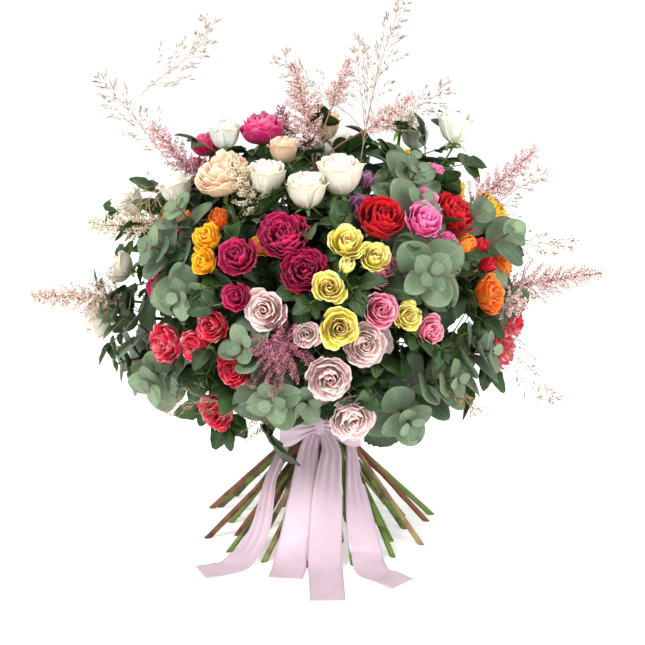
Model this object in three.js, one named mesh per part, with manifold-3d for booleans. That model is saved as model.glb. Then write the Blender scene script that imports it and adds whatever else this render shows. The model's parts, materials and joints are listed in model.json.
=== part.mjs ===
// Mixed flower bouquet: roses, eucalyptus, astilbe and grass, tied in a spiral with a satin ribbon.
// It stands unheld on its splayed, cut stem ends. Millimetres, +Z up, the front faces -Y.
// The origin lies on the floor, straight below the tie.

import * as THREE from 'three';
import { mergeVertices } from 'three/addons/utils/BufferGeometryUtils.js';
import Module from 'manifold-3d';

const wasm = await Module();
wasm.setup();

// The tie: stems stand in rings round one in the middle, and all lean the same way round.
const TIE_HEIGHT = 132;
const RING_PITCH = 5.6;
const RING_STEMS = [1, 6, 11, 15, 17];
const SPREAD = 0.046;
const STEM_RADIUS = 2.45;
const FOOT_RADIUS = 3.3;
const STRAIGHT_ABOVE = 25;
const STEM_SIDES = { rose: 5, eucalyptus: 4, astilbe: 4, grass: 3 };
const TWIG_SIDES = 3;

// The dome of flowers that the stems reach.
const DOME_HEIGHT = 285;
const DOME_WIDE = 222;
const DOME_TALL = 178;

// How the curves are divided, and how far stems keep from each other.
const MAIN_STEPS = 4;
const TWIG_STEPS = 2;
const STEM_GAP = 0.5;
const GUARD = 0.4;
const CUT_SHARE = 0.4;
const CLEAR_SHARE = 0.995;
const LEAF_SHARES = [1, 0.82, 0.64, 0.48];
const BLADE_THICKNESS = 1.5;
const GRAIN_STRETCH = 100;
const GRAIN_RADIUS = 3.2;
const BRANCH_AT = [2.5, 3.4, 1.5];
const BULGES = [0, 10, 20, 32, 46];
const BULGE_TURNS = 8;
const REACH_SHIFTS = [0, -0.04, 0.04, -0.08, 0.08, -0.12, 0.12, -0.16, 0.16];
const BLOOM_SPACE = 0.43;
const HEADING_ABOVE = 60;

// Ribbon and twine.
const RIBBON_WIDTH = 38;
const RIBBON_THICKNESS = 0.8;
const BAND_HALF_HEIGHT = 18;
const TWINE_RADIUS = 0.9;
const TWINE_TURNS = 3;
const TWINE_INNER = 25.5;

const PEACH = '#e9a27c';
const CREAM = '#efe3c6';
const GREEN_WHITE = '#e3e6cf';
const CERISE = '#d4335f';
const RED = '#c4202b';
const HOT_PINK = '#e0447c';
const MAGENTA = '#c02a6a';
const YELLOW = '#edb938';
const PALE_YELLOW = '#eadb8f';
const ORANGE = '#e57a2c';
const BLUSH = '#efc9c4';
const CORAL = '#e3475a';
const PLUM = '#8f4a78';
const GREY_GREEN = '#7f9a86';
const STRAW = '#b59a62';
const RIBBON_PINK = '#e6cdd6';
const TWINE_TAN = '#b9a27c';

// Rose sprays: name, colour, form, then each head's azimuth, elevation, reach and diameter on the dome.
const ROSES = [
  ['rose_cerise_top', CERISE, 'ruffled', [[-80, 75, 1.10, 50]]],
  ['rose_cerise_left', CERISE, 'ruffled', [[-100, 58, 1.10, 38], [-95, 50, 1.05, 40]]],
  ['rose_peach_garden', PEACH, 'ruffled', [[-50, 54, 1.05, 60]]],
  ['rose_peach_top', PEACH, 'goblet', [[-35, 73, 1.0, 34], [170, 80, 1.05, 40]]],
  ['rose_cream', CREAM, 'goblet', [[12, 59, 1.0, 50], [-5, 52, 1.0, 45], [-27, 57, 1.0, 42]]],
  ['rose_white_left', GREEN_WHITE, 'goblet', [[-90, 30, 1.12, 38], [-72, 44, 1.03, 40]]],
  ['rose_white_crown', GREEN_WHITE, 'goblet', [[-85, 65, 1.12, 38]]],
  ['rose_white_right', GREEN_WHITE, 'goblet', [
    [100, 69, 1.19, 42], [90, 56.6, 1.27, 44], [110, 61, 1.10, 34],
  ]],
  ['rose_plum', PLUM, 'ruffled', [[21, 47, 0.88, 40], [28, 58, 0.95, 25]]],
  ['rose_red', RED, 'ruffled', [
    [23, 40, 0.97, 50], [57, 37, 1.0, 50], [60, 24, 1.0, 22], [60, 17, 1.0, 25],
  ]],
  ['rose_hot_pink', HOT_PINK, 'ruffled', [
    [36, 36, 1.06, 40], [47, 44, 1.0, 32], [44, 28, 1.0, 30], [75, 52, 1.0, 32],
  ]],
  ['rose_yellow_right', YELLOW, 'ruffled', [[85, 31, 1.03, 48], [62, 27, 0.95, 26]]],
  ['rose_orange_right', ORANGE, 'ruffled', [[58, 7, 1.0, 40], [50, 26, 1.0, 24], [72, 14, 1.0, 30]]],
  ['rose_pale_yellow_upper', PALE_YELLOW, 'ruffled', [
    [9, 32, 1.0, 38], [8, 24, 1.05, 25], [17, 26.5, 1.0, 34],
  ]],
  ['rose_pale_yellow_lower', PALE_YELLOW, 'ruffled', [
    [5.5, 4, 1.03, 40], [3, 17, 1.03, 35], [25, 6, 1.0, 31],
  ]],
  ['rose_pink_edged', BLUSH, 'ruffled', [[17, 9, 1.0, 35], [32, 0, 1.0, 32], [22, 22, 0.97, 36]]],
  ['rose_blush_upper', BLUSH, 'ruffled', [[-14.5, 9, 1.0, 43], [-3, 2, 1.02, 28]]],
  ['rose_blush_lower', BLUSH, 'ruffled', [
    [3, -13, 1.05, 46], [10, -28, 1.08, 47], [13, -3, 0.97, 44], [19, -6, 0.92, 38],
  ]],
  ['rose_cream_yellow', CREAM, 'ruffled', [[-90, -9, 1.17, 48], [-90, 8, 1.04, 40]]],
  ['rose_coral_upper', CORAL, 'ruffled', [[-35, -6, 1.02, 34], [-30, 2, 1.0, 36], [-48, -8, 1.0, 42]]],
  ['rose_coral_lower', CORAL, 'ruffled', [[-38, -36, 1.0, 42], [-25, -14, 0.97, 38]]],
  ['rose_magenta_left', MAGENTA, 'ruffled', [[-60, 9, 0.92, 36]]],
  ['rose_magenta_centre', MAGENTA, 'ruffled', [[-11, 34.5, 1.0, 52], [-4, 23, 0.97, 46]]],
  ['rose_magenta_pair', MAGENTA, 'ruffled', [[-25, 26, 1.0, 43], [-22, 13, 1.0, 32]]],
  ['rose_golden', YELLOW, 'ruffled', [
    [-38, 31, 1.0, 33], [-36, 22.5, 1.0, 28], [-26, 11, 0.95, 25], [-20, 33, 0.93, 28],
  ]],
  ['rose_orange_left', ORANGE, 'ruffled', [[-70, 32, 0.95, 30], [-62, 35, 0.92, 28], [-45, 40, 0.90, 28]]],
  ['rose_pink_right', HOT_PINK, 'ruffled', [[72, -17, 1.03, 44], [85, -11, 1.03, 38]]],
  ['rose_back_blush', BLUSH, 'ruffled', [[150, 20, 1.0, 52], [165, 3, 1.0, 44], [173, 30, 1.0, 40]]],
  ['rose_back_magenta', MAGENTA, 'ruffled', [[-150, 25, 1.0, 50], [-165, 42, 1.0, 44], [-138, 6, 1.0, 42]]],
  ['rose_back_golden', YELLOW, 'ruffled', [[120, 35, 1.0, 44], [135, 50, 1.0, 38], [112, 15, 1.0, 38]]],
  ['rose_back_pink', HOT_PINK, 'ruffled', [[178, -14, 1.0, 48], [-164, 8, 1.0, 42], [140, -12, 1.0, 40]]],
  ['rose_back_cream', CREAM, 'ruffled', [[170, 58, 1.0, 52], [-120, 42, 1.0, 46], [-115, 15, 1.0, 44]]],
];

// Eucalyptus: name, then the azimuth, elevation and reach of each twig's tip.
const EUCALYPTUS = [
  ['eucalyptus_upper_right', [[48, 53, 1.10], [40, 42, 1.08], [66, 60, 1.05]]],
  ['eucalyptus_right', [[60, 34, 1.13], [62, 26, 1.20], [30, 19, 1.12]]],
  ['eucalyptus_upper_left', [[-52, 24, 1.14], [-40, 10, 1.05], [-52, 38, 1.10]]],
  ['eucalyptus_lower_left', [[-78, -22, 1.14], [-62, -27, 1.08], [-80, -4, 1.12]]],
  ['eucalyptus_lower_front', [[-12, -20, 1.12], [-20, -2, 1.06], [-3, -24, 1.04]]],
  ['eucalyptus_lower_right', [[28, -32, 1.12], [40, -17, 1.10], [52, -10, 1.10]]],
  ['eucalyptus_back', [[180, 40, 1.12], [-135, -14, 1.10], [138, -20, 1.12]]],
];

// Astilbe: name, colour, then each plume's azimuth, elevation and reach at its tip, its length and width.
const ASTILBE = [
  ['astilbe_top', '#c7708e', [[-90, 85, 1.45, 105, 30], [61, 83, 1.50, 60, 14], [56, 67, 1.42, 70, 16]]],
  ['astilbe_upper_left', '#cf8f9b', [[-84, 52, 1.37, 95, 26]]],
  ['astilbe_cream_left', '#dccdaa', [[-36, 53, 1.20, 100, 26], [-84, 22, 1.26, 100, 30]]],
  ['astilbe_left', '#cf9a86', [[-80, 1, 1.46, 110, 28]]],
  ['astilbe_upper_right', '#cf7f92', [[86, 40, 1.43, 100, 26]]],
  ['astilbe_right', '#c98a9c', [[90, 4, 1.47, 110, 28], [66, 2, 1.12, 60, 22]]],
  ['astilbe_centre', '#9a6f8f', [[-10, -2, 1.16, 70, 52], [-160, 62, 1.22, 80, 24]]],
];

// Ornamental grass: name, then the azimuth, elevation and reach of each culm's tip.
const GRASSES = [
  ['grass_left', [[-90, 51, 1.74], [-84, 72, 1.81], [-56, 33, 1.30]]],
  ['grass_top', [[80, 77, 1.86], [-23, 75, 1.60], [77, 64, 1.48], [150, 74, 1.60]]],
  ['grass_right', [[85, 34, 1.36], [83, 15, 1.33], [58, -19, 1.42], [40, -22, 1.24]]],
  ['grass_low_left', [[-18, -30, 1.16], [-38, -22, 1.24], [-150, -10, 1.37]]],
];

// Large rose leaves: the spray they grow on, which way they point from the dome's middle, and their length.
const ROSE_LEAVES = [
  ['rose_coral_lower', -20, -52, 66],
  ['rose_white_left', -68, 18, 56],
  ['rose_cream_yellow', -100, -22, 56],
  ['rose_pink_right', 62, -34, 58],
  ['rose_yellow_right', 100, 12, 56],
  ['rose_white_right', 120, 44, 52],
  ['rose_blush_lower', 24, -44, 54],
  ['rose_orange_right', 80, -2, 52],
  ['rose_back_blush', 128, -2, 58],
  ['rose_back_magenta', -128, 26, 56],
  ['rose_back_pink', 172, -34, 60],
  ['rose_back_cream', -140, 62, 52],
];

// Small vector helpers.
const rad = THREE.MathUtils.degToRad;
const vec = (x, y, z) => new THREE.Vector3(x, y, z);
const plus = (a, b, s = 1) => a.clone().addScaledVector(b, s);
const minus = (a, b) => a.clone().sub(b);
const unit = (a) => a.clone().normalize();
const cross = (a, b) => a.clone().cross(b);
const UP = vec(0, 0, 1);

// An even-looking number from 0 to 1 that is the same on every run.
function draw(seed) {
  const wave = Math.sin(seed * 12.9898 + 4.1414) * 43758.5453;
  return wave - Math.floor(wave);
}

function facing(azimuth, elevation) {
  const a = rad(azimuth);
  const e = rad(elevation);
  return vec(Math.cos(e) * Math.sin(a), -Math.cos(e) * Math.cos(a), Math.sin(e));
}

function domePoint(azimuth, elevation, reach) {
  const way = facing(azimuth, elevation);
  return vec(reach * DOME_WIDE * way.x, reach * DOME_WIDE * way.y, DOME_HEIGHT + reach * DOME_TALL * way.z);
}

// A bloom looks outwards, and less steeply down than its place on the underside.
function bloomAxis(azimuth, elevation, form) {
  const lift = form === 'goblet' ? 28 : 6;
  const tilt = elevation > 0 ? elevation : elevation * 0.5;
  return facing(azimuth, Math.min(88, tilt + lift));
}

// A direction square to the given one, by turn degrees round it.
function squareTo(way, turn) {
  const first = unit(cross(way, Math.abs(way.z) > 0.9 ? vec(1, 0, 0) : UP));
  const second = cross(way, first);
  return first.multiplyScalar(Math.cos(rad(turn))).addScaledVector(second, Math.sin(rad(turn)));
}

function bezier(a, b, c, d, t) {
  const s = 1 - t;
  return a.clone().multiplyScalar(s * s * s).addScaledVector(b, 3 * s * s * t)
    .addScaledVector(c, 3 * s * t * t).addScaledVector(d, t * t * t);
}

// The shortest distance between two straight stretches.
function stretchDistance(p1, q1, p2, q2) {
  const d1 = minus(q1, p1);
  const d2 = minus(q2, p2);
  const r = minus(p1, p2);
  const a = d1.dot(d1);
  const e = d2.dot(d2);
  const f = d2.dot(r);
  const c = d1.dot(r);
  const b = d1.dot(d2);
  const denominator = a * e - b * b;
  let s = denominator > 1e-9 ? THREE.MathUtils.clamp((b * f - c * e) / denominator, 0, 1) : 0;
  let t = (b * s + f) / e;
  if (t < 0) {
    t = 0;
    s = THREE.MathUtils.clamp(-c / a, 0, 1);
  } else if (t > 1) {
    t = 1;
    s = THREE.MathUtils.clamp((b - c) / a, 0, 1);
  }
  return plus(p1, d1, s).distanceTo(plus(p2, d2, t));
}

// Where the blooms sit: each moves in or out a little until it stands clear of those before it.
function settleBlooms(sprays) {
  const settled = [];
  for (const spray of sprays) {
    for (const bloom of spray.blooms) {
      let best = null;
      for (const shift of REACH_SHIFTS) {
        const centre = domePoint(bloom.azimuth, bloom.elevation, bloom.reach + shift);
        const gaps = settled.map(
          (other) => centre.distanceTo(other.centre) - BLOOM_SPACE * (bloom.size + other.size));
        const clearance = Math.min(1, ...gaps);
        if (!best || clearance > best.clearance + 1e-6) best = { centre, clearance };
        if (clearance > 0) break;
      }
      bloom.centre = best.centre;
      settled.push(bloom);
    }
  }
  return settled;
}

// One spray for each grown piece: its blooms, plumes or twig tips are the ends that its stem reaches.
function makeSprays() {
  const sprays = [];
  for (const [name, colour, form, heads] of ROSES) {
    const blooms = heads.map(
      ([azimuth, elevation, reach, size]) => ({ azimuth, elevation, reach, size, form }));
    sprays.push({ name, colour, kind: 'rose', blooms });
  }
  for (const [name, tips] of EUCALYPTUS) {
    sprays.push({ name, colour: GREY_GREEN, kind: 'eucalyptus', blooms: [], tips });
  }
  for (const [name, colour, tips] of ASTILBE) {
    sprays.push({ name, colour, kind: 'astilbe', blooms: [], tips });
  }
  for (const [name, tips] of GRASSES) sprays.push({ name, colour: STRAW, kind: 'grass', blooms: [], tips });
  const settled = settleBlooms(sprays);
  for (const spray of sprays) {
    spray.ends = spray.kind === 'rose' ? spray.blooms.map(bloomEnd) : spray.tips.map(tipEnd);
  }
  return { sprays, settled };
}

function bloomEnd(bloom) {
  const axis = bloomAxis(bloom.azimuth, bloom.elevation, bloom.form);
  bloom.axis = axis;
  return { point: plus(bloom.centre, axis, -0.36 * bloom.size), axis, bloom };
}

function tipEnd([azimuth, elevation, reach, length = 70, width = 10]) {
  const axis = facing(azimuth, elevation * 0.8 + 4);
  return { point: domePoint(azimuth, elevation, reach), axis, length, width };
}

// The places in the tie, ring by ring.
function tieSlots() {
  const slots = [];
  RING_STEMS.forEach((count, ring) => {
    for (let i = 0; i < count; i++) {
      const angle = (2 * Math.PI * i) / count + ring * 0.4;
      slots.push({ ring, x: ring * RING_PITCH * Math.cos(angle), y: ring * RING_PITCH * Math.sin(angle) });
    }
  });
  return slots;
}

function stemPoint(slot, height) {
  const turn = SPREAD * (height - TIE_HEIGHT);
  return vec(slot.x - turn * slot.y, slot.y + turn * slot.x, height);
}

function stemDirection(slot) {
  return unit(vec(-SPREAD * slot.y, SPREAD * slot.x, 1));
}

function angleBetween(a, b) {
  return Math.abs(Math.atan2(Math.sin(a - b), Math.cos(a - b)));
}

// The sprays that lean most take the outer ring, and round each ring they keep their order.
function assignSlots(sprays) {
  const slots = tieSlots();
  const leanOf = (spray) => {
    const p = spray.ends[0].point;
    return Math.atan2(Math.hypot(p.x, p.y), p.z - TIE_HEIGHT);
  };
  const byLean = sprays.map((spray) => ({ spray, lean: leanOf(spray) })).sort((a, b) => a.lean - b.lean);
  let from = 0;
  RING_STEMS.forEach((count, ring) => {
    const ringSlots = slots.filter((slot) => slot.ring === ring);
    const turn = Math.atan(SPREAD * HEADING_ABOVE);
    const heading = (slot) => Math.atan2(slot.y, slot.x) + turn;
    const group = byLean.slice(from, from + count).map((item) => item.spray);
    const aim = (spray) => Math.atan2(spray.ends[0].point.y, spray.ends[0].point.x);
    group.sort((a, b) => aim(a) - aim(b));
    let best = null;
    for (let shift = 0; shift < count; shift++) {
      const cost = group.reduce(
        (sum, spray, i) => sum + angleBetween(aim(spray), heading(ringSlots[(i + shift) % count])) ** 2, 0);
      if (!best || cost < best.cost - 1e-9) best = { cost, shift };
    }
    group.forEach((spray, i) => { spray.slot = ringSlots[(i + best.shift) % count]; });
    from += count;
  });
}

// The bulges that a curve may take to keep clear, the straightest first.
function bulgesFor(from, to) {
  const way = unit(minus(to, from));
  const choices = [];
  for (const size of BULGES) {
    const turns = size === 0 ? 1 : BULGE_TURNS;
    for (let k = 0; k < turns; k++) {
      choices.push(squareTo(way, (360 * k) / BULGE_TURNS).multiplyScalar(size));
    }
  }
  return choices;
}

function curvePoints(from, startWay, end, bulge, steps, grip) {
  const length = from.distanceTo(end.point);
  const b = plus(plus(from, startWay, grip * length), bulge, 0.5);
  const c = plus(plus(end.point, end.axis, -0.3 * length), bulge);
  const points = [];
  for (let i = 0; i <= steps; i++) points.push(bezier(from, b, c, end.point, i / steps));
  return points;
}

// How a curve fares: whether it clears every other stem, and how many blooms it would pass through.
const HEART_LENGTH = 0.1;
const BLOOM_CORE = 0.36;

function judge(points, radii, owner, ends, taken, settled) {
  let blooms = 0;
  for (let i = 0; i + 1 < points.length; i++) {
    const radius = Math.max(radii[i], radii[i + 1]);
    for (const other of taken) {
      if (other.owner === owner) continue;
      const space = radius + other.radius + STEM_GAP;
      if (stretchDistance(points[i], points[i + 1], other.a, other.b) < space) return null;
    }
    for (const bloom of settled) {
      if (bloom === ends.bloom) continue;
      const heart = plus(bloom.centre, bloom.axis, HEART_LENGTH);
      const near = stretchDistance(points[i], points[i + 1], bloom.centre, heart);
      if (near < radius + BLOOM_CORE * bloom.size) blooms++;
    }
  }
  return blooms;
}

function take(points, radii, owner, taken) {
  for (let i = 0; i + 1 < points.length; i++) {
    taken.push({ a: points[i], b: points[i + 1], radius: Math.max(radii[i], radii[i + 1]), owner });
  }
}

function taper(from, to, count) {
  return Array.from({ length: count }, (_, i) => from + ((to - from) * i) / (count - 1));
}

const MAIN_TIP = { rose: 1.9, eucalyptus: 1.0, astilbe: 1.1, grass: 0.5 };
const TWIG_BASE = { rose: 1.4, eucalyptus: 1.3, astilbe: 1.2, grass: 0.8 };
const TWIG_TIP = { rose: 1.2, eucalyptus: 0.7, astilbe: 0.8, grass: 0.4 };

function routeMain(spray, taken, settled) {
  const from = stemPoint(spray.slot, TIE_HEIGHT + STRAIGHT_ABOVE);
  const end = spray.ends[0];
  const radii = taper(STEM_RADIUS, MAIN_TIP[spray.kind], MAIN_STEPS + 1);
  let best = null;
  for (const bulge of bulgesFor(from, end.point)) {
    const points = curvePoints(from, stemDirection(spray.slot), end, bulge, MAIN_STEPS, 0.35);
    const blooms = judge(points, radii, spray.name, end, taken, settled);
    if (blooms !== null && (!best || blooms < best.blooms)) best = { points, blooms };
    if (blooms === 0) break;
  }
  if (!best) throw new Error(`no clear way for the stem of ${spray.name}`);
  spray.main = { points: best.points, radii, end };
  take(best.points, radii, spray.name, taken);
}

function routeTwig(spray, end, taken, settled) {
  const radii = taper(TWIG_BASE[spray.kind], TWIG_TIP[spray.kind], TWIG_STEPS + 1);
  let best = null;
  for (const at of BRANCH_AT) {
    const [before, after] = [spray.main.points[Math.floor(at)], spray.main.points[Math.ceil(at)]];
    const from = before.clone().lerp(after, at - Math.floor(at));
    const way = unit(minus(after, before));
    for (const bulge of bulgesFor(from, end.point)) {
      const points = curvePoints(from, way, end, bulge, TWIG_STEPS, 0.3);
      const blooms = judge(points, radii, spray.name, end, taken, settled);
      if (blooms !== null && (!best || blooms < best.blooms)) best = { points, blooms };
      if (blooms === 0) break;
    }
    if (best && best.blooms === 0) break;
  }
  if (!best) throw new Error(`no clear way for a twig of ${spray.name}`);
  spray.twigs.push({ points: best.points, radii, end });
  take(best.points, radii, spray.name, taken);
}

function layOut() {
  const { sprays, settled } = makeSprays();
  assignSlots(sprays);
  const taken = [];
  sprays.forEach((spray) => routeMain(spray, taken, settled));
  sprays.forEach((spray) => {
    spray.twigs = [];
    spray.ends.slice(1).forEach((end) => routeTwig(spray, end, taken, settled));
  });
  return sprays;
}

// Solids: a closed geometry becomes a body that can be joined and cut.
function toSolid(geometry) {
  geometry.deleteAttribute('normal');
  geometry.deleteAttribute('uv');
  const merged = mergeVertices(geometry, 1e-4);
  const corners = [];
  const index = merged.index.array;
  for (let i = 0; i < index.length; i += 3) {
    const [a, b, c] = [index[i], index[i + 1], index[i + 2]];
    if (a !== b && b !== c && c !== a) corners.push(a, b, c);
  }
  const vertProperties = new Float32Array(merged.attributes.position.array);
  const triVerts = new Uint32Array(corners);
  const solid = new wasm.Manifold(new wasm.Mesh({ numProp: 3, vertProperties, triVerts }));
  if (solid.volume() <= 0) throw new Error('a shape is not closed, or is inside out');
  return solid;
}

function toMesh(solid, name, colour, roughness = 0.6) {
  const { vertProperties, triVerts } = solid.getMesh();
  const geometry = new THREE.BufferGeometry();
  geometry.setAttribute('position', new THREE.BufferAttribute(new Float32Array(vertProperties), 3));
  geometry.setIndex(new THREE.BufferAttribute(new Uint32Array(triVerts), 1));
  geometry.computeVertexNormals();
  const material = new THREE.MeshStandardMaterial({ color: colour, roughness, metalness: 0 });
  const mesh = new THREE.Mesh(geometry, material);
  mesh.name = name;
  return mesh;
}

// Frames along a line of points: the way on, and two directions square to it.
function ringFrames(points) {
  let across = null;
  return points.map((centre, i) => {
    const way = unit(minus(points[Math.min(i + 1, points.length - 1)], points[Math.max(i - 1, 0)]));
    across = across ? unit(plus(across, way, -across.dot(way))) : squareTo(way, 0);
    return { centre, way, across, aside: cross(across, way) };
  });
}

// A closed tube along the points. Its first ring may be cut level at a height.
function tube(points, radiusAt, sides, cutHeight = null) {
  const rings = points.length - 1;
  const shape = new THREE.CylinderGeometry(1, 1, 1, sides, rings);
  const frames = ringFrames(points);
  const position = shape.attributes.position;
  for (let i = 0; i < position.count; i++) {
    const x = position.getX(i);
    const z = position.getZ(i);
    const ring = Math.round((position.getY(i) + 0.5) * rings);
    const side = (Math.round((Math.atan2(x, z) / (2 * Math.PI)) * sides) + sides) % sides;
    const radius = radiusAt(ring, side);
    const { centre, way, across, aside } = frames[ring];
    const place = plus(plus(centre, across, x * radius), aside, z * radius);
    if (ring === 0 && cutHeight !== null) place.addScaledVector(way, (cutHeight - place.z) / way.z);
    position.setXYZ(i, place.x, place.y, place.z);
  }
  return toSolid(shape);
}

// A flat strip along the points, whose face looks along the given normals. Each step has four corners, and
// both faces are split the same way, so a twist keeps them apart.
const STRIP_CORNERS = [[-0.5, 0.5], [0.5, 0.5], [0.5, -0.5], [-0.5, -0.5]];
const STRIP_WALLS = [[0, 1, 5], [0, 5, 4], [3, 6, 2], [3, 7, 6], [2, 6, 5], [2, 5, 1], [3, 0, 4], [3, 4, 7]];

function strip(points, normals, widths, thickness) {
  const last = points.length - 1;
  const places = points.flatMap((point, step) => {
    const way = unit(minus(points[Math.min(step + 1, last)], points[Math.max(step - 1, 0)]));
    const across = unit(cross(way, normals[step]));
    const outward = cross(across, way);
    return STRIP_CORNERS.map(([side, face]) => (
      plus(plus(point, across, side * widths[step]), outward, face * thickness).toArray()
    ));
  });
  const corners = [3, 2, 1, 3, 1, 0];
  for (let step = 0; step < last; step++) {
    corners.push(...STRIP_WALLS.flat().map((corner) => corner + 4 * step));
  }
  corners.push(...[0, 1, 2, 0, 2, 3].map((corner) => corner + 4 * last));
  const shape = new THREE.BufferGeometry();
  shape.setAttribute('position', new THREE.Float32BufferAttribute(places.flat(), 3));
  shape.setIndex(corners);
  return toSolid(shape);
}

// A bloom: petal layers as lobed rings round its axis. Each profile row is radius, height, lobe depth and
// turn, the first two as shares of the bloom's diameter.
const RUFFLED = [
  [0, -0.42, 0, 0], [0.43, -0.10, 0.06, 0], [0.54, 0.17, 0.14, 0],
  [0.34, 0.10, 0, 0], [0.34, 0.31, 0.16, 1], [0, 0.20, 0, 0],
];
const SIMPLE = [
  [0, -0.42, 0, 0], [0.42, -0.08, 0.06, 0], [0.53, 0.16, 0.12, 0], [0.27, 0.10, 0, 0], [0, 0.34, 0, 0],
];
const GOBLET = [
  [0, -0.50, 0, 0], [0.38, -0.20, 0.03, 0], [0.44, 0.20, 0.06, 0],
  [0.50, 0.40, 0.14, 0], [0.28, 0.32, 0.08, 1], [0, 0.40, 0, 0],
];
const BUD = [[0, -0.50, 0, 0], [0.42, -0.10, 0, 0], [0.38, 0.28, 0, 0], [0, 0.48, 0, 0]];
const SMALL_BLOOM = 28;
const BIG_BLOOM = 44;
const BIGGEST_BLOOM = 50;

function bloomForm({ form, size }) {
  if (form === 'goblet') return { profile: GOBLET, sides: 8 };
  if (size < SMALL_BLOOM) return { profile: BUD, sides: 6 };
  if (size < BIG_BLOOM) return { profile: SIMPLE, sides: 8 };
  return { profile: RUFFLED, sides: size < BIGGEST_BLOOM ? 8 : 10 };
}

function bloomSolid(bloom, grow) {
  const { profile, sides } = bloomForm(bloom);
  const foot = profile[0][1];
  const scale = bloom.size + 3 * grow;
  const outline = profile.map(([radius, height]) => new THREE.Vector2(radius, height));
  const shape = new THREE.LatheGeometry(outline, sides);
  const position = shape.attributes.position;
  const turn = new THREE.Quaternion().setFromUnitVectors(vec(0, 1, 0), bloom.axis);
  for (let i = 0; i < position.count; i++) {
    const row = profile[i % profile.length];
    const side = Math.floor(i / profile.length);
    const lobe = 1 + row[2] * ((side + row[3]) % 2 === 0 ? 1 : -1);
    const height = row[1] + row[2] * 0.3 * (lobe - 1) - foot;
    const place = vec(position.getX(i) * lobe, height, position.getZ(i) * lobe).multiplyScalar(scale);
    place.y += foot * bloom.size - grow;
    place.applyQuaternion(turn).add(bloom.centre);
    position.setXYZ(i, place.x, place.y, place.z);
  }
  return toSolid(shape);
}

// A blade of leaf: a thin lens whose rim is the outline, rows of forward and sideways in lengths and widths.
// lift raises the rim in step with its distance to the side.
function blade({ base, along, normal, length, width, outline, lift = 0 }, grow) {
  const shape = new THREE.SphereGeometry(1, outline.length, 2);
  const position = shape.attributes.position;
  const side = unit(cross(along, normal));
  const up = cross(side, along);
  for (let i = 0; i < position.count; i++) {
    const y = position.getY(i);
    const turn = Math.atan2(position.getZ(i), -position.getX(i)) / (2 * Math.PI);
    const corner = outline[Math.round((turn + 1) * outline.length) % outline.length];
    const onRim = Math.abs(y) < 0.5;
    const [forward, spread] = onRim ? corner : [0, 0];
    const reach = 1 + (2 * grow) / width;
    const rise = onRim ? Math.abs(spread) * width * lift : Math.sign(y) * (BLADE_THICKNESS * 0.5 + grow);
    const place = plus(plus(base, along, forward * length * reach), side, spread * width * reach);
    place.addScaledVector(up, rise);
    position.setXYZ(i, place.x, place.y, place.z);
  }
  return toSolid(shape);
}

// The other half of an outline, mirrored, so that it runs all the way round.
function bothSides(half) {
  return [...half, ...half.slice(1, -1).reverse().map(([forward, spread]) => [forward, -spread])];
}

// Outlines round the blade's middle: a rose leaf cut to three leaflets, and a round leaf.
const TRIFOLIATE = bothSides([
  [-0.45, 0], [-0.26, 0.16], [-0.30, 0.52], [-0.05, 0.40],
  [0.02, 0.16], [0.18, 0.27], [0.38, 0.22], [0.60, 0],
]);
const ROUND_LEAF = [
  [-0.5, 0], [-0.26, 0.38], [0.12, 0.5], [0.44, 0.26], [0.44, -0.26], [0.12, -0.5], [-0.26, -0.38],
];

// The point at a distance back from the end of a line, and the way on there.
function backFromEnd(points, distance) {
  let left = distance;
  for (let i = points.length - 1; i > 0; i--) {
    const length = points[i].distanceTo(points[i - 1]);
    if (left <= length || i === 1) {
      const point = points[i].clone().lerp(points[i - 1], Math.min(1, left / length));
      return { point, way: unit(minus(points[i], points[i - 1])) };
    }
    left -= length;
  }
  return null;
}

// Points along the last stretch of a line, ending at its tip.
function endStretch(line, length, rows) {
  return Array.from({ length: rows + 1 }, (_, i) => backFromEnd(line.points, length * (1 - i / rows)).point);
}

// Eucalyptus leaves stand in crossed pairs that grow with the distance from the tip.
const PAIR_BACK = [6, 22, 44];
const PAIR_SIZE = [22, 34, 40];

function eucalyptusLeaves(spray, index) {
  const leaves = [];
  [spray.main, ...spray.twigs].forEach((line, twig) => {
    const seed = index * 10 + twig;
    for (let pair = 0; pair < (twig === 0 ? 3 : 2); pair++) {
      const { point, way } = backFromEnd(line.points, PAIR_BACK[pair]);
      for (const half of [0, 180]) {
        const side = squareTo(way, 90 * pair + half + 40 * draw(seed));
        const along = unit(plus(side, way, 0.45));
        const normal = unit(plus(way, side, -0.45));
        const size = PAIR_SIZE[pair] * (0.92 + 0.16 * draw(seed + pair + half));
        leaves.push((share, grow) => {
          const length = size * share;
          const base = plus(point, along, 0.5 * length + 0.3);
          return blade({ base, along, normal, length, width: length * 0.92, outline: ROUND_LEAF }, grow);
        });
      }
    }
  });
  return leaves;
}

// A plume: a spiky relief of short side shoots round the end of its stalk.
const PLUME_ROWS = 6;
const PLUME_SIDES = 6;

function plumeSolid(line, grow) {
  const { length, width } = line.end;
  const points = endStretch(line, length, PLUME_ROWS);
  const radiusAt = (ring, side) => {
    const left = 1 - ring / PLUME_ROWS;
    const swell = Math.sin(Math.PI * Math.min(1, 0.12 + 0.5 * left + 0.38 * left ** 2));
    const spike = (ring + side) % 2 === 0 ? 1 : 0.5;
    return Math.max(1.2, width * 0.5 * swell * spike) + grow;
  };
  return tube(points, radiusAt, PLUME_SIDES);
}

// The grains at the end of a culm: a slim spiky relief.
const GRAIN_ROWS = 6;

function grainSolid(line, grow) {
  const points = endStretch(line, GRAIN_STRETCH, GRAIN_ROWS);
  const radiusAt = (ring, side) => {
    const spike = (ring + side) % 2 === 0 ? GRAIN_RADIUS : 1.5;
    return (ring === GRAIN_ROWS ? 0.8 : spike) + grow;
  };
  return tube(points, radiusAt, 4);
}

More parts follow.
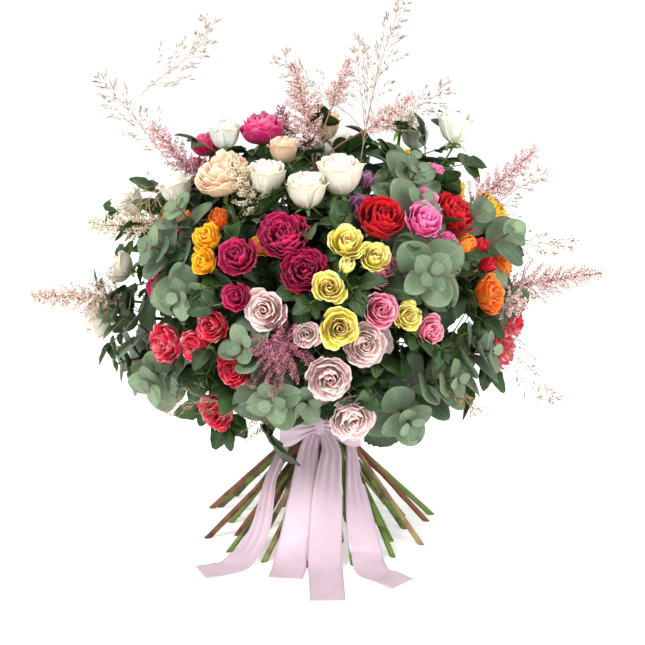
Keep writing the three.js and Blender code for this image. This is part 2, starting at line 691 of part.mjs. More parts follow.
// A rose leaf of three leaflets on a stalk from its spray's stem to where the table puts it.
const LEAF_STALK_RADIUS = 1;
const LEAF_DROOP = -0.12;

function roseLeaf(spray, azimuth, elevation, length) {
  const outward = facing(azimuth, elevation);
  const from = spray.main.points[MAIN_STEPS - 1];
  const target = domePoint(azimuth, elevation, 1.0);
  const way = unit(minus(target, from));
  const normal = unit(plus(outward, way, -outward.dot(way)));
  const stalk = Math.max(length * 0.7, from.distanceTo(target));
  const middle = plus(from, way, stalk);
  const stalkEnd = plus(middle, way, -0.42 * length);
  const form = { base: middle, along: way, normal, length, width: length, outline: TRIFOLIATE, lift: LEAF_DROOP };
  return (grow) => tube([from, stalkEnd], () => LEAF_STALK_RADIUS + grow, TWIG_SIDES).add(blade(form, grow));
}

// The blooms, plumes or grains of one spray, in the order in which they claim their space.
function grownParts(spray) {
  const lines = [spray.main, ...spray.twigs];
  if (spray.kind === 'rose') return spray.blooms.map((bloom) => (grow) => bloomSolid(bloom, grow));
  if (spray.kind === 'astilbe') return lines.map((line) => (grow) => plumeSolid(line, grow));
  if (spray.kind === 'grass') return lines.map((line) => (grow) => grainSolid(line, grow));
  return [];
}

function stemSolids(spray, index, grow) {
  const cut = index % 4 === 3 ? 6 + 20 * draw(index) : 0;
  const points = [stemPoint(spray.slot, cut), ...spray.main.points];
  const radii = [FOOT_RADIUS, ...spray.main.radii];
  const solids = [tube(points, (ring) => radii[ring] + grow, STEM_SIDES[spray.kind], cut)];
  for (const twig of spray.twigs) {
    solids.push(tube(twig.points, (ring) => twig.radii[ring] + grow, TWIG_SIDES));
  }
  return solids;
}

function boxesMeet(a, b) {
  const [p, q] = [a.boundingBox(), b.boundingBox()];
  return [0, 1, 2].every((i) => p.min[i] < q.max[i] && q.min[i] < p.max[i]);
}

// Cuts away whatever of a solid lies within the guards of the others.
function clearOf(solid, guards, owner) {
  const near = guards.filter((guard) => guard.owner !== owner && boxesMeet(guard.solid, solid));
  if (near.length === 0) return solid;
  return solid.subtract(wasm.Manifold.union(near.map((guard) => guard.solid)));
}

function largest(solid) {
  const larger = (best, body) => (best && best.volume() > body.volume() ? best : body);
  return solid.decompose().reduce(larger, null);
}

// Ribbon: a band round the stems with its bow and two tails, and two more tails under the bow.
const BAND_SIDES = 14;
const TAIL_SEAT = 0.85;
const TWINE_OUTER = TWINE_INNER + 2 * TWINE_RADIUS;

function bundleRadius(height) {
  const turn = SPREAD * (height - TIE_HEIGHT);
  const swell = THREE.MathUtils.clamp((TIE_HEIGHT - height) / TIE_HEIGHT, 0, 1);
  return 4 * RING_PITCH * Math.hypot(1, turn) + STEM_RADIUS + (FOOT_RADIUS - STEM_RADIUS) * swell;
}

function bandRadius(height) {
  return Math.max(bundleRadius(height) + 0.6, TWINE_OUTER + 0.4);
}

// A body turned round the stems' axis, from rows of radius and height. The radius is the one to the middles
// of its flat sides.
function turned(rows) {
  const corner = 1 / Math.cos(Math.PI / BAND_SIDES);
  const outline = rows.map(([radius, height]) => new THREE.Vector2(radius * corner, height));
  const shape = new THREE.LatheGeometry(outline, BAND_SIDES);
  shape.rotateX(Math.PI / 2);
  return toSolid(shape);
}

const BAND_ROWS = [1, 0, -1].map((share) => TIE_HEIGHT + BAND_HALF_HEIGHT * share);

function bandSolid() {
  const inner = BAND_ROWS.map((height) => [bandRadius(height), height]);
  const outer = inner.map(([radius, height]) => [radius + RIBBON_THICKNESS, height]).reverse();
  return turned([...inner, ...outer, inner[0]]);
}

function bandCore() {
  const inner = BAND_ROWS.map((height) => [bandRadius(height), height]);
  return turned([[0, BAND_ROWS[0]], ...inner, [0, BAND_ROWS[2]]].reverse());
}

// Twine: turns side by side, tight round the stems' waist.
function twineSolid() {
  const bottom = TIE_HEIGHT - TWINE_TURNS * TWINE_RADIUS;
  const rows = [[TWINE_INNER, TIE_HEIGHT - TWINE_RADIUS], [TWINE_INNER, TIE_HEIGHT + TWINE_RADIUS]];
  for (let i = TWINE_TURNS; i >= 0; i--) {
    const edge = i === TWINE_TURNS || i === 0;
    rows.push([TWINE_INNER + TWINE_RADIUS * (edge ? 1 : 1.3), bottom + 2 * TWINE_RADIUS * i]);
    if (i > 0) rows.push([TWINE_OUTER, bottom + 2 * TWINE_RADIUS * (i - 0.5)]);
  }
  rows.push(rows[0]);
  return turned(rows.reverse());
}

// A tail: down over the stems, rows of azimuth, height and share of the full width, then over the floor, rows
// of x and y. A tail of the bow starts inside the knot, at an offset from the knot's middle.
function tailSolid({ onStems, onFloor, lift, fromKnot }) {
  const points = [];
  const normals = [];
  const widths = [];
  for (const [azimuth, height, share] of onStems) {
    const upper = height > TIE_HEIGHT - BAND_HALF_HEIGHT;
    const corner = upper ? 1 / Math.cos(Math.PI / BAND_SIDES) : 1;
    const overBand = (bandRadius(height) + RIBBON_THICKNESS) * corner + TAIL_SEAT;
    const under = upper ? overBand : bundleRadius(height) + lift;
    const radius = under + RIBBON_THICKNESS * 0.5;
    points.push(vec(radius * Math.sin(rad(azimuth)), -radius * Math.cos(rad(azimuth)), height));
    normals.push(facing(azimuth, 30));
    widths.push(RIBBON_WIDTH * share);
  }
  if (fromKnot) {
    points.unshift(knotMiddle().add(vec(fromKnot[0], fromKnot[1], fromKnot[2])));
    normals.unshift(facing(0, 0));
    widths.unshift(RIBBON_WIDTH * 0.35);
  }
  for (const [x, y] of onFloor) {
    points.push(vec(x, y, RIBBON_THICKNESS * 0.5));
    normals.push(UP);
    widths.push(RIBBON_WIDTH);
  }
  return strip(points, normals, widths, RIBBON_THICKNESS);
}

const KNOT = { x: 2, height: 134, wide: 9, deep: 9, tall: 12 };
const LOOP_FORWARD = 5;
const TAIL_MIDDLE_LEFT = {
  onStems: [[-14, 106, 0.6], [-12, 82, 0.8], [-11, 57, 0.95], [-12, 30, 1], [-13, 10, 1]],
  onFloor: [[-33, -152], [-36, -174]],
  lift: 5,
  fromKnot: [-1.2, 4.1, -1.3],
};
const TAIL_MIDDLE_RIGHT = {
  onStems: [[18, 106, 0.6], [10, 82, 0.8], [6, 57, 0.95], [4, 30, 1], [3, 10, 1]],
  onFloor: [[8, -158], [9, -195], [10, -236]],
  lift: 8,
  fromKnot: [3.6, -1.4, -1.1],
};
const TAIL_LEFT = {
  onStems: [[-66, 128, 0.35], [-52, 100, 0.4], [-46, 70, 0.5], [-35, 32, 0.7], [-34, 12, 0.8]],
  onFloor: [[-92, -137], [-110, -149], [-130, -157]],
  lift: 4,
};
const TAIL_RIGHT = {
  onStems: [[66, 128, 0.35], [54, 100, 0.45], [31, 57, 0.8], [24, 22, 1], [23, 8, 1]],
  onFloor: [[60, -156], [74, -174], [92, -190]],
  lift: 4,
};

function knotMiddle() {
  return vec(KNOT.x, -(bandRadius(KNOT.height) + RIBBON_THICKNESS + KNOT.deep * 0.8), KNOT.height);
}

function knotSolid() {
  const shape = new THREE.SphereGeometry(1, 8, 4);
  const middle = knotMiddle();
  shape.scale(KNOT.wide, KNOT.deep, KNOT.tall);
  shape.translate(middle.x, middle.y, middle.z);
  return toSolid(shape).subtract(bandCore());
}

// A loop of the bow: out from the knot over the top and back below, hanging a little.
function loopSolid(hand) {
  const rows = [[2, 2], [16, 11], [32, 11], [42, 0], [35, -14], [18, -12], [2, -4]];
  const start = knotMiddle().add(vec(0, -LOOP_FORWARD, 0));
  const points = rows.map(([x, z]) => start.clone().add(vec(hand * x, -0.12 * x, z)));
  const middle = start.clone().add(vec(hand * 22, 0, 0));
  const normals = points.map((point) => unit(minus(point, middle).setY(0)));
  const widths = [0.3, 0.5, 0.6, 0.62, 0.6, 0.45, 0.3].map((share) => share * RIBBON_WIDTH);
  return strip(points, normals, widths, RIBBON_THICKNESS);
}

function ribbonSolid() {
  const bow = [bandSolid(), knotSolid(), loopSolid(-1), loopSolid(1)];
  const tails = [tailSolid(TAIL_MIDDLE_LEFT), tailSolid(TAIL_MIDDLE_RIGHT)];
  return wasm.Manifold.union([...bow, ...tails]).simplify(0.05);
}

// The whole bouquet.
function build() {
  const sprays = layOut();
  const group = new THREE.Group();
  const guards = [];
  sprays.forEach((spray, index) => {
    spray.solids = stemSolids(spray, index, 0);
    stemSolids(spray, index, GUARD).forEach((solid) => guards.push({ owner: spray.name, solid }));
  });

  const twine = twineSolid();
  const ribbon = ribbonSolid();
  const leftTail = tailSolid(TAIL_LEFT);
  const rightTail = tailSolid(TAIL_RIGHT);

  const claim = (spray, makePart, leastShare) => {
    const whole = makePart(0);
    const rest = largest(clearOf(whole, guards, spray.name));
    if (!rest || rest.volume() < leastShare * whole.volume()) return false;
    spray.solids.push(rest);
    guards.push({ owner: spray.name, solid: makePart(GUARD) });
    return true;
  };
  [ribbon, leftTail, rightTail].forEach((solid) => guards.push({ owner: 'ribbon', solid }));
  sprays.forEach((spray) => grownParts(spray).forEach((part) => claim(spray, part, CUT_SHARE)));
  sprays.filter((spray) => spray.kind === 'eucalyptus').forEach((spray, index) => {
    eucalyptusLeaves(spray, index).forEach((leaf) => {
      LEAF_SHARES.some((share) => claim(spray, (grow) => leaf(share, grow), CLEAR_SHARE));
    });
  });
  for (const [name, azimuth, elevation, length] of ROSE_LEAVES) {
    const spray = sprays.find((one) => one.name === name);
    LEAF_SHARES.some((share) => (
      claim(spray, roseLeaf(spray, azimuth, elevation, length * share), CLEAR_SHARE)
    ));
  }

  for (const spray of sprays) {
    const body = largest(wasm.Manifold.union(spray.solids).simplify(0.02));
    group.add(toMesh(body, spray.name, spray.colour));
  }
  group.add(toMesh(twine, 'binding_twine', TWINE_TAN, 0.9));
  group.add(toMesh(ribbon, 'ribbon_bow', RIBBON_PINK, 0.35));
  group.add(toMesh(leftTail, 'ribbon_tail_left', RIBBON_PINK, 0.35));
  group.add(toMesh(rightTail, 'ribbon_tail_right', RIBBON_PINK, 0.35));
  return group;
}

export default build();
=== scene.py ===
import json
import math
from collections import namedtuple

import bmesh
import bpy
import numpy as np
from mathutils import Matrix, Vector


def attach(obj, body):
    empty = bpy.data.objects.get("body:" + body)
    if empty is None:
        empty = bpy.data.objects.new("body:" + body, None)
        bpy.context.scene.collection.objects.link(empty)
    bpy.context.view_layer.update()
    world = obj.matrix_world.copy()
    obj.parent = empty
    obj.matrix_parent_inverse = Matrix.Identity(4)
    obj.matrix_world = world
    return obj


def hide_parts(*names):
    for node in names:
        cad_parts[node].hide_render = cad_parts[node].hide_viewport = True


bl_info = {
    "name": "Mixed flower bouquet",
    "version": (1, 0, 0),
    "blender": (4, 5, 0),
    "location": "3D View > Sidebar > Bouquet",
    "description": "Makes the visible petals, leaves, plumes, grasses and ribbon of a hand-tied bouquet",
    "category": "Object",
}

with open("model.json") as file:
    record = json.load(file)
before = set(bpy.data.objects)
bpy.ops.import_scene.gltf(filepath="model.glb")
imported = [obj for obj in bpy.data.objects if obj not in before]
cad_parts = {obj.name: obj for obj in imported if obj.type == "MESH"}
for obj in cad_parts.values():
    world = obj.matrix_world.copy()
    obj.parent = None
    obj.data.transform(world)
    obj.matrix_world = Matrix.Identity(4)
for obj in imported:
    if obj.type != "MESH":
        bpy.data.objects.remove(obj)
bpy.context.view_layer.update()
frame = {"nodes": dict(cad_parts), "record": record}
MM = 0.001
UP = np.array((0.0, 0.0, 1.0))

# Each petal, branch or leaf stands this much further round than the one before it, in radians and in degrees.
GOLDEN_TURN = 2.39996
GOLDEN_DEGREES = 137.5

# The tie, in millimetres: rings of stems, which lean round by SPREAD for each millimetre of height.
TIE_HEIGHT = 132
RING_PITCH = 5.6
RING_STEMS = (1, 6, 11, 15, 17)
RING_TURN = 0.4
SPREAD = 0.046
HEADING_ABOVE = 60
STRAIGHT_ABOVE = 25
STEM_RADIUS = 2.45
FOOT_RADIUS = 3.3
BAND_HALF_HEIGHT = 18
TWINE_OUTER = 27.3

# The dome that the blooms stand on, in millimetres. The shares are of a bloom's diameter.
DOME_HEIGHT = 285
DOME_WIDE = 222
DOME_TALL = 178
BLOOM_BACK_SHARE = 0.36
BLOOM_CLEAR_SHARE = 0.43
GOBLET_LIFT = 28
RUFFLED_LIFT = 6
STEEPEST_BLOOM = 88
REACH_SHIFTS = (0, -0.04, 0.04, -0.08, 0.08, -0.12, 0.12, -0.16, 0.16)

# How the stems find their way up: the stretches of each, the bulges that they try, and where twigs may leave.
MAIN_STEPS = 4
TWIG_STEPS = 2
MAIN_GRIP = 0.35
TWIG_GRIP = 0.3
END_GRIP = 0.3
STEM_GAP = 0.5
BRANCH_AT = (2.5, 3.4, 1.5)
BULGES = (0, 10, 20, 32, 46)
BULGE_TURNS = 8

# Radii in millimetres: the end of the main stem, and the start and the end of a twig.
END_RADII = {
    "rose": (1.9, 1.4, 1.2),
    "eucalyptus": (1.0, 1.3, 0.7),
    "astilbe": (1.1, 1.2, 0.8),
    "grass": (0.5, 0.8, 0.4),
}

# Petal colours by name: the heart, the body, the rim and the base of a petal, and the flush on its rim.
PETALS = {
    "peach": ("#f39a4e", "#fbcfa8", "#fde6d3", "#f8e0ae", "#f7bfa4"),
    "cream": ("#f4cb9c", "#fbf0dc", "#fdf7ec", "#efe9c0", "#f6e3c6"),
    "green_white": ("#f0f0c6", "#f9f7e9", "#fdfcf6", "#cfdca0", "#dfe8b8"),
    "cerise": ("#a00d46", "#cf1e68", "#e04c8a", "#c98aa6", "#ec7fae"),
    "red": ("#7a0410", "#c20c1e", "#d6202c", "#86080f", "#9c0814"),
    "hot_pink": ("#d81c72", "#ee58a2", "#f78cc0", "#f4b4c4", "#fbc4dc"),
    "magenta": ("#7a0630", "#b51250", "#c92f68", "#b05c7e", "#8e0a3c"),
    "yellow": ("#ee8a00", "#fdb70a", "#ffcf3a", "#efb020", "#f59c08"),
    "pale_yellow": ("#efb818", "#f9e562", "#fdf4b0", "#e0e28c", "#f3eca0"),
    "orange": ("#dd4508", "#f56f12", "#f99540", "#eca434", "#f05c10"),
    "blush": ("#f0967e", "#fedfd9", "#fff2ee", "#fce8cc", "#e583b4"),
    "pink_edged": ("#ee3574", "#f47fa2", "#f9bccb", "#ecdfb8", "#dd5f96"),
    "coral": ("#a80b2c", "#dc2146", "#e64a66", "#f2c8c0", "#f6d3d0"),
    "plum": ("#5d2148", "#8a4676", "#ae82a6", "#94718a", "#7a3866"),
}

# How much of the full waviness the petals of some colours have.
CALM = {
    "blush": 0.6, "pink_edged": 0.7, "pale_yellow": 0.7, "peach": 0.65, "cream": 0.6, "cerise": 0.6,
    "red": 0.75,
}

# Rose sprays: name, petal colour, form, then each head's azimuth, elevation, reach and diameter on the dome.
ROSES = (
    ("rose_cerise_top", "cerise", "ruffled", ((-80, 75, 1.10, 50),)),
    ("rose_cerise_left", "cerise", "ruffled", ((-100, 58, 1.10, 38), (-95, 50, 1.05, 40))),
    ("rose_peach_garden", "peach", "ruffled", ((-50, 54, 1.05, 60),)),
    ("rose_peach_top", "peach", "goblet", ((-35, 73, 1.0, 34), (170, 80, 1.05, 40))),
    ("rose_cream", "cream", "goblet", ((12, 59, 1.0, 50), (-5, 52, 1.0, 45), (-27, 57, 1.0, 42))),
    ("rose_white_left", "green_white", "goblet", ((-90, 30, 1.12, 38), (-72, 44, 1.03, 40))),
    ("rose_white_crown", "green_white", "goblet", ((-85, 65, 1.12, 38),)),
    ("rose_white_right", "green_white", "goblet",
     ((100, 69, 1.19, 42), (90, 56.6, 1.27, 44), (110, 61, 1.10, 34))),
    ("rose_plum", "plum", "ruffled", ((21, 47, 0.88, 40), (28, 58, 0.95, 25))),
    ("rose_red", "red", "ruffled",
     ((23, 40, 0.97, 50), (57, 37, 1.0, 50), (60, 24, 1.0, 22), (60, 17, 1.0, 25))),
    ("rose_hot_pink", "hot_pink", "ruffled",
     ((36, 36, 1.06, 40), (47, 44, 1.0, 32), (44, 28, 1.0, 30), (75, 52, 1.0, 32))),
    ("rose_yellow_right", "yellow", "ruffled", ((85, 31, 1.03, 48), (62, 27, 0.95, 26))),
    ("rose_orange_right", "orange", "ruffled", ((58, 7, 1.0, 40), (50, 26, 1.0, 24), (72, 14, 1.0, 30))),
    ("rose_pale_yellow_upper", "pale_yellow", "ruffled",
     ((9, 32, 1.0, 38), (8, 24, 1.05, 25), (17, 26.5, 1.0, 34))),
    ("rose_pale_yellow_lower", "pale_yellow", "ruffled",
     ((5.5, 4, 1.03, 40), (3, 17, 1.03, 35), (25, 6, 1.0, 31))),
    ("rose_pink_edged", "pink_edged", "ruffled", ((17, 9, 1.0, 35), (32, 0, 1.0, 32), (22, 22, 0.97, 36))),
    ("rose_blush_upper", "blush", "ruffled", ((-14.5, 9, 1.0, 43), (-3, 2, 1.02, 28))),
    ("rose_blush_lower", "blush", "ruffled",
     ((3, -13, 1.05, 46), (10, -28, 1.08, 47), (13, -3, 0.97, 44), (19, -6, 0.92, 38))),
    ("rose_cream_yellow", "cream", "ruffled", ((-90, -9, 1.17, 48), (-90, 8, 1.04, 40))),
    ("rose_coral_upper", "coral", "ruffled", ((-35, -6, 1.02, 34), (-30, 2, 1.0, 36), (-48, -8, 1.0, 42))),
    ("rose_coral_lower", "coral", "ruffled", ((-38, -36, 1.0, 42), (-25, -14, 0.97, 38))),
    ("rose_magenta_left", "magenta", "ruffled", ((-60, 9, 0.92, 36),)),
    ("rose_magenta_centre", "magenta", "ruffled", ((-11, 34.5, 1.0, 52), (-4, 23, 0.97, 46))),
    ("rose_magenta_pair", "magenta", "ruffled", ((-25, 26, 1.0, 43), (-22, 13, 1.0, 32))),
    ("rose_golden", "yellow", "ruffled",
     ((-38, 31, 1.0, 33), (-36, 22.5, 1.0, 28), (-26, 11, 0.95, 25), (-20, 33, 0.93, 28))),
    ("rose_orange_left", "orange", "ruffled",
     ((-70, 32, 0.95, 30), (-62, 35, 0.92, 28), (-45, 40, 0.90, 28))),
    ("rose_pink_right", "coral", "ruffled", ((72, -17, 1.03, 44), (85, -11, 1.03, 38))),
    ("rose_back_blush", "blush", "ruffled", ((150, 20, 1.0, 52), (165, 3, 1.0, 44), (173, 30, 1.0, 40))),
    ("rose_back_magenta", "magenta", "ruffled",
     ((-150, 25, 1.0, 50), (-165, 42, 1.0, 44), (-138, 6, 1.0, 42))),
    ("rose_back_golden", "yellow", "ruffled", ((120, 35, 1.0, 44), (135, 50, 1.0, 38), (112, 15, 1.0, 38))),
    ("rose_back_pink", "hot_pink", "ruffled", ((178, -14, 1.0, 48), (-164, 8, 1.0, 42), (140, -12, 1.0, 40))),
    ("rose_back_cream", "cream", "ruffled", ((170, 58, 1.0, 52), (-120, 42, 1.0, 46), (-115, 15, 1.0, 44))),
)

# Eucalyptus: name, then the azimuth, elevation and reach of each twig's tip.
EUCALYPTUS = (
    ("eucalyptus_upper_right", ((48, 53, 1.10), (40, 42, 1.08), (66, 60, 1.05))),
    ("eucalyptus_right", ((60, 34, 1.13), (62, 26, 1.20), (30, 19, 1.12))),
    ("eucalyptus_upper_left", ((-52, 24, 1.14), (-40, 10, 1.05), (-52, 38, 1.10))),
    ("eucalyptus_lower_left", ((-78, -22, 1.14), (-62, -27, 1.08), (-80, -4, 1.12))),
    ("eucalyptus_lower_front", ((-12, -20, 1.12), (-20, -2, 1.06), (-3, -24, 1.04))),
    ("eucalyptus_lower_right", ((28, -32, 1.12), (40, -17, 1.10), (52, -10, 1.10))),
    ("eucalyptus_back", ((180, 40, 1.12), (-135, -14, 1.10), (138, -20, 1.12))),
)

# Astilbe: name, two floret colours, then the azimuth, elevation, reach, length and width of each plume.
ASTILBE = (
    ("astilbe_top", ("#d7949f", "#f8ded6"),
     ((-90, 85, 1.45, 105, 30), (61, 83, 1.50, 60, 14), (56, 67, 1.42, 70, 16))),
    ("astilbe_upper_left", ("#d394a4", "#f6dad8"), ((-84, 52, 1.37, 95, 26),)),
    ("astilbe_cream_left", ("#d8c196", "#fbf2dc"), ((-36, 53, 1.20, 100, 26), (-84, 22, 1.26, 100, 30))),
    ("astilbe_left", ("#dcaea4", "#faeade"), ((-80, 1, 1.46, 110, 28),)),
    ("astilbe_upper_right", ("#dca3b0", "#f9e0de"), ((86, 40, 1.43, 100, 26),)),
    ("astilbe_right", ("#dba7aa", "#f9e4da"), ((90, 4, 1.47, 110, 28), (66, 2, 1.12, 60, 22))),
    ("astilbe_centre", ("#7d2f4c", "#ba6c82"), ((-10, -2, 1.16, 70, 52), (-160, 62, 1.22, 80, 24))),
)

# Ornamental grass: name, then the azimuth, elevation and reach of each culm's tip.
GRASSES = (
    ("grass_left", ((-90, 51, 1.74), (-84, 72, 1.81), (-56, 33, 1.30))),
    ("grass_top", ((80, 77, 1.86), (-23, 75, 1.60), (77, 64, 1.48), (150, 74, 1.60))),
    ("grass_right", ((85, 34, 1.36), (83, 15, 1.33), (58, -19, 1.42), (40, -22, 1.24))),
    ("grass_low_left", ((-18, -30, 1.16), (-38, -22, 1.24), (-150, -10, 1.37))),
)

# Large rose leaves: the spray they grow on, which way they point from the dome's middle, and their length.
ROSE_LEAVES = (
    ("rose_coral_lower", -20, -52, 66),
    ("rose_white_left", -68, 18, 56),
    ("rose_cream_yellow", -100, -22, 56),
    ("rose_pink_right", 62, -34, 58),
    ("rose_yellow_right", 100, 12, 56),
    ("rose_white_right", 120, 44, 52),
    ("rose_blush_lower", 24, -44, 54),
    ("rose_orange_right", 80, -2, 52),
    ("rose_back_blush", 128, -2, 58),
    ("rose_back_magenta", -128, 26, 56),
    ("rose_back_pink", 172, -34, 60),
    ("rose_back_cream", -140, 62, 52),
)


# Small helpers for points and directions.
def vec(x, y, z):
    return np.array((x, y, z), dtype=float)


def unit(a):
    return a / math.sqrt(a @ a)


def draw(seed):
    """An even-looking number from 0 to 1 that is the same on every run."""
    wave = math.sin(seed * 12.9898 + 4.1414) * 43758.5453
    return wave - math.floor(wave)


def swing(seed):
    """An even-looking number from -1 to 1 that is the same on every run."""
    return 2 * draw(seed) - 1


def mix(a, b, share):
    return a + (b - a) * share


def smooth(low, high, value):
    share = min(1.0, max(0.0, (value - low) / (high - low)))
    return share * share * (3 - 2 * share)


def facing(azimuth, elevation):
    a, e = math.radians(azimuth), math.radians(elevation)
    return vec(math.cos(e) * math.sin(a), -math.cos(e) * math.cos(a), math.sin(e))


def dome_point(azimuth, elevation, reach):
    way = facing(azimuth, elevation)
    wide = reach * DOME_WIDE
    return vec(wide * way[0], wide * way[1], DOME_HEIGHT + reach * DOME_TALL * way[2])


def square_to(way, turn):
    """A direction square to the given one, by turn degrees round it."""
    first = unit(np.cross(way, vec(1, 0, 0) if abs(way[2]) > 0.9 else UP))
    second = np.cross(way, first)
    return first * math.cos(math.radians(turn)) + second * math.sin(math.radians(turn))


def bezier(controls, t):
    a, b, c, d = controls
    s = 1 - t
    return a * (s * s * s) + b * (3 * s * s * t) + c * (3 * s * t * t) + d * (t * t * t)


def distance(a, b):
    return math.sqrt((a - b) @ (a - b))


def stretch_gaps(p1, q1, starts, ends):
    """The least distances from one straight stretch to each of many."""
    d1, d2, r = q1 - p1, ends - starts, p1 - starts
    a, e, f = d1 @ d1, (d2 * d2).sum(axis=1), (d2 * r).sum(axis=1)
    c, b = r @ d1, d2 @ d1
    denominator = a * e - b * b
    open_angle = denominator > 1e-9
    s = np.where(open_angle, np.clip((b * f - c * e) / np.where(open_angle, denominator, 1), 0, 1), 0)
    t = (b * s + f) / e
    s = np.where(t < 0, np.clip(-c / a, 0, 1), np.where(t > 1, np.clip((b - c) / a, 0, 1), s))
    t = np.clip(t, 0, 1)
    return np.linalg.norm(p1 + s[:, None] * d1 - starts - t[:, None] * d2, axis=1)


# The layout: where each bloom sits and which way each stem runs.
class Bloom:
    def __init__(self, azimuth, elevation, reach, size, form):
        lift = GOBLET_LIFT if form == "goblet" else RUFFLED_LIFT
        tilt = elevation if elevation > 0 else elevation * 0.5
        self.place = (azimuth, elevation, reach)
        self.size = size
        self.form = form
        self.axis = facing(azimuth, min(STEEPEST_BLOOM, tilt + lift))
        self.centre = None


# Where a line of stem ends: its point, the way it arrives, its bloom, or the length and width of its plume.
End = namedtuple("End", "point axis bloom length width", defaults=(None, None, None))


class Line(namedtuple("Line", "controls radii end")):
    """A stretch of stem: the curve it follows, its radius at both ends, and its end."""
    def points(self, steps):
        return [bezier(self.controls, i / steps) for i in range(steps + 1)]


class Path:
    """Points joined by straight stretches, with the distance along them."""
    def __init__(self, points):
        self.points = points
        self.lengths = np.cumsum([0] + [distance(a, b) for a, b in zip(points, points[1:])])
        self.total = self.lengths[-1]

    def at(self, away):
        return np.array([np.interp(away, self.lengths, [p[k] for p in self.points]) for k in range(3)])

    def way(self, away, before=1):
        """The direction of the path near a place on it."""
        return unit(self.at(away + 1) - self.at(away - before))


class Spray:
    def __init__(self, name, kind, colour, blooms=(), tips=()):
        self.name = name
        self.kind = kind
        self.colour = colour
        self.blooms = blooms
        self.tips = tips
        self.ends = []
        self.slot = None
        self.main = None
        self.coarse = None
        self.twigs = []


def settle_blooms(sprays):
    """Each bloom moves in or out a little until it stands clear of those before it."""
    settled = []
    for bloom in (bloom for spray in sprays for bloom in spray.blooms):
        azimuth, elevation, reach = bloom.place
        best, best_clearance = None, None
        for shift in REACH_SHIFTS:
            centre = dome_point(azimuth, elevation, reach + shift)
            gaps = [distance(centre, other.centre) - BLOOM_CLEAR_SHARE * (bloom.size + other.size)
                    for other in settled]
            clearance = min(gaps + [1])
            if best is None or clearance > best_clearance + 1e-6:
                best, best_clearance = centre, clearance
            if clearance > 0:
                break
        bloom.centre = best
        settled.append(bloom)
    return settled


def make_sprays():
    sprays = []
    for name, shade, form, heads in ROSES:
        sprays.append(Spray(name, "rose", shade, [Bloom(*head, form) for head in heads]))
    sprays += [Spray(name, "eucalyptus", None, tips=tips) for name, tips in EUCALYPTUS]
    sprays += [Spray(name, "astilbe", shades, tips=tips) for name, shades, tips in ASTILBE]
    sprays += [Spray(name, "grass", None, tips=tips) for name, tips in GRASSES]
    settled = settle_blooms(sprays)
    for spray in sprays:
        for bloom in spray.blooms:
            neck = bloom.centre - BLOOM_BACK_SHARE * bloom.size * bloom.axis
            spray.ends.append(End(neck, bloom.axis, bloom))
        for azimuth, elevation, reach, *shape in spray.tips:
            axis = facing(azimuth, elevation * 0.8 + 4)
            spray.ends.append(End(dome_point(azimuth, elevation, reach), axis, None, *shape))
    return sprays, settled


def tie_slots():
    slots = []
    for ring, count in enumerate(RING_STEMS):
        for i in range(count):
            angle = 2 * math.pi * i / count + ring * RING_TURN
            slots.append((ring, ring * RING_PITCH * math.cos(angle), ring * RING_PITCH * math.sin(angle)))
    return slots


def stem_point(slot, height):
    turn = SPREAD * (height - TIE_HEIGHT)
    return vec(slot[1] - turn * slot[2], slot[2] + turn * slot[1], height)


def stem_direction(slot):
    return unit(vec(-SPREAD * slot[2], SPREAD * slot[1], 1))


def angle_between(a, b):
    return abs(math.atan2(math.sin(a - b), math.cos(a - b)))


def assign_slots(sprays):
    """The sprays that lean most take the outer ring, and round each ring they keep their order."""
    def lean(spray):
        p = spray.ends[0].point
        return math.atan2(math.hypot(p[0], p[1]), p[2] - TIE_HEIGHT)

    def aim(spray):
        return math.atan2(spray.ends[0].point[1], spray.ends[0].point[0])

    slots = tie_slots()
    by_lean = sorted(sprays, key=lean)
    turn = math.atan(SPREAD * HEADING_ABOVE)
    start = 0
    for ring, count in enumerate(RING_STEMS):
        ring_slots = [slot for slot in slots if slot[0] == ring]
        headings = [math.atan2(slot[2], slot[1]) + turn for slot in ring_slots]
        group = sorted(by_lean[start:start + count], key=aim)
        best_cost, best_shift = None, 0
        for shift in range(count):
            cost = sum(angle_between(aim(s), headings[(i + shift) % count]) ** 2 for i, s in enumerate(group))
            if best_cost is None or cost < best_cost - 1e-9:
                best_cost, best_shift = cost, shift
        for i, spray in enumerate(group):
            spray.slot = ring_slots[(i + best_shift) % count]
        start += count


def curve_controls(start, start_way, end, bulge, grip):
    length = distance(start, end.point)
    b = start + grip * length * start_way + 0.5 * bulge
    c = end.point - END_GRIP * length * end.axis + bulge
    return start, b, c, end.point


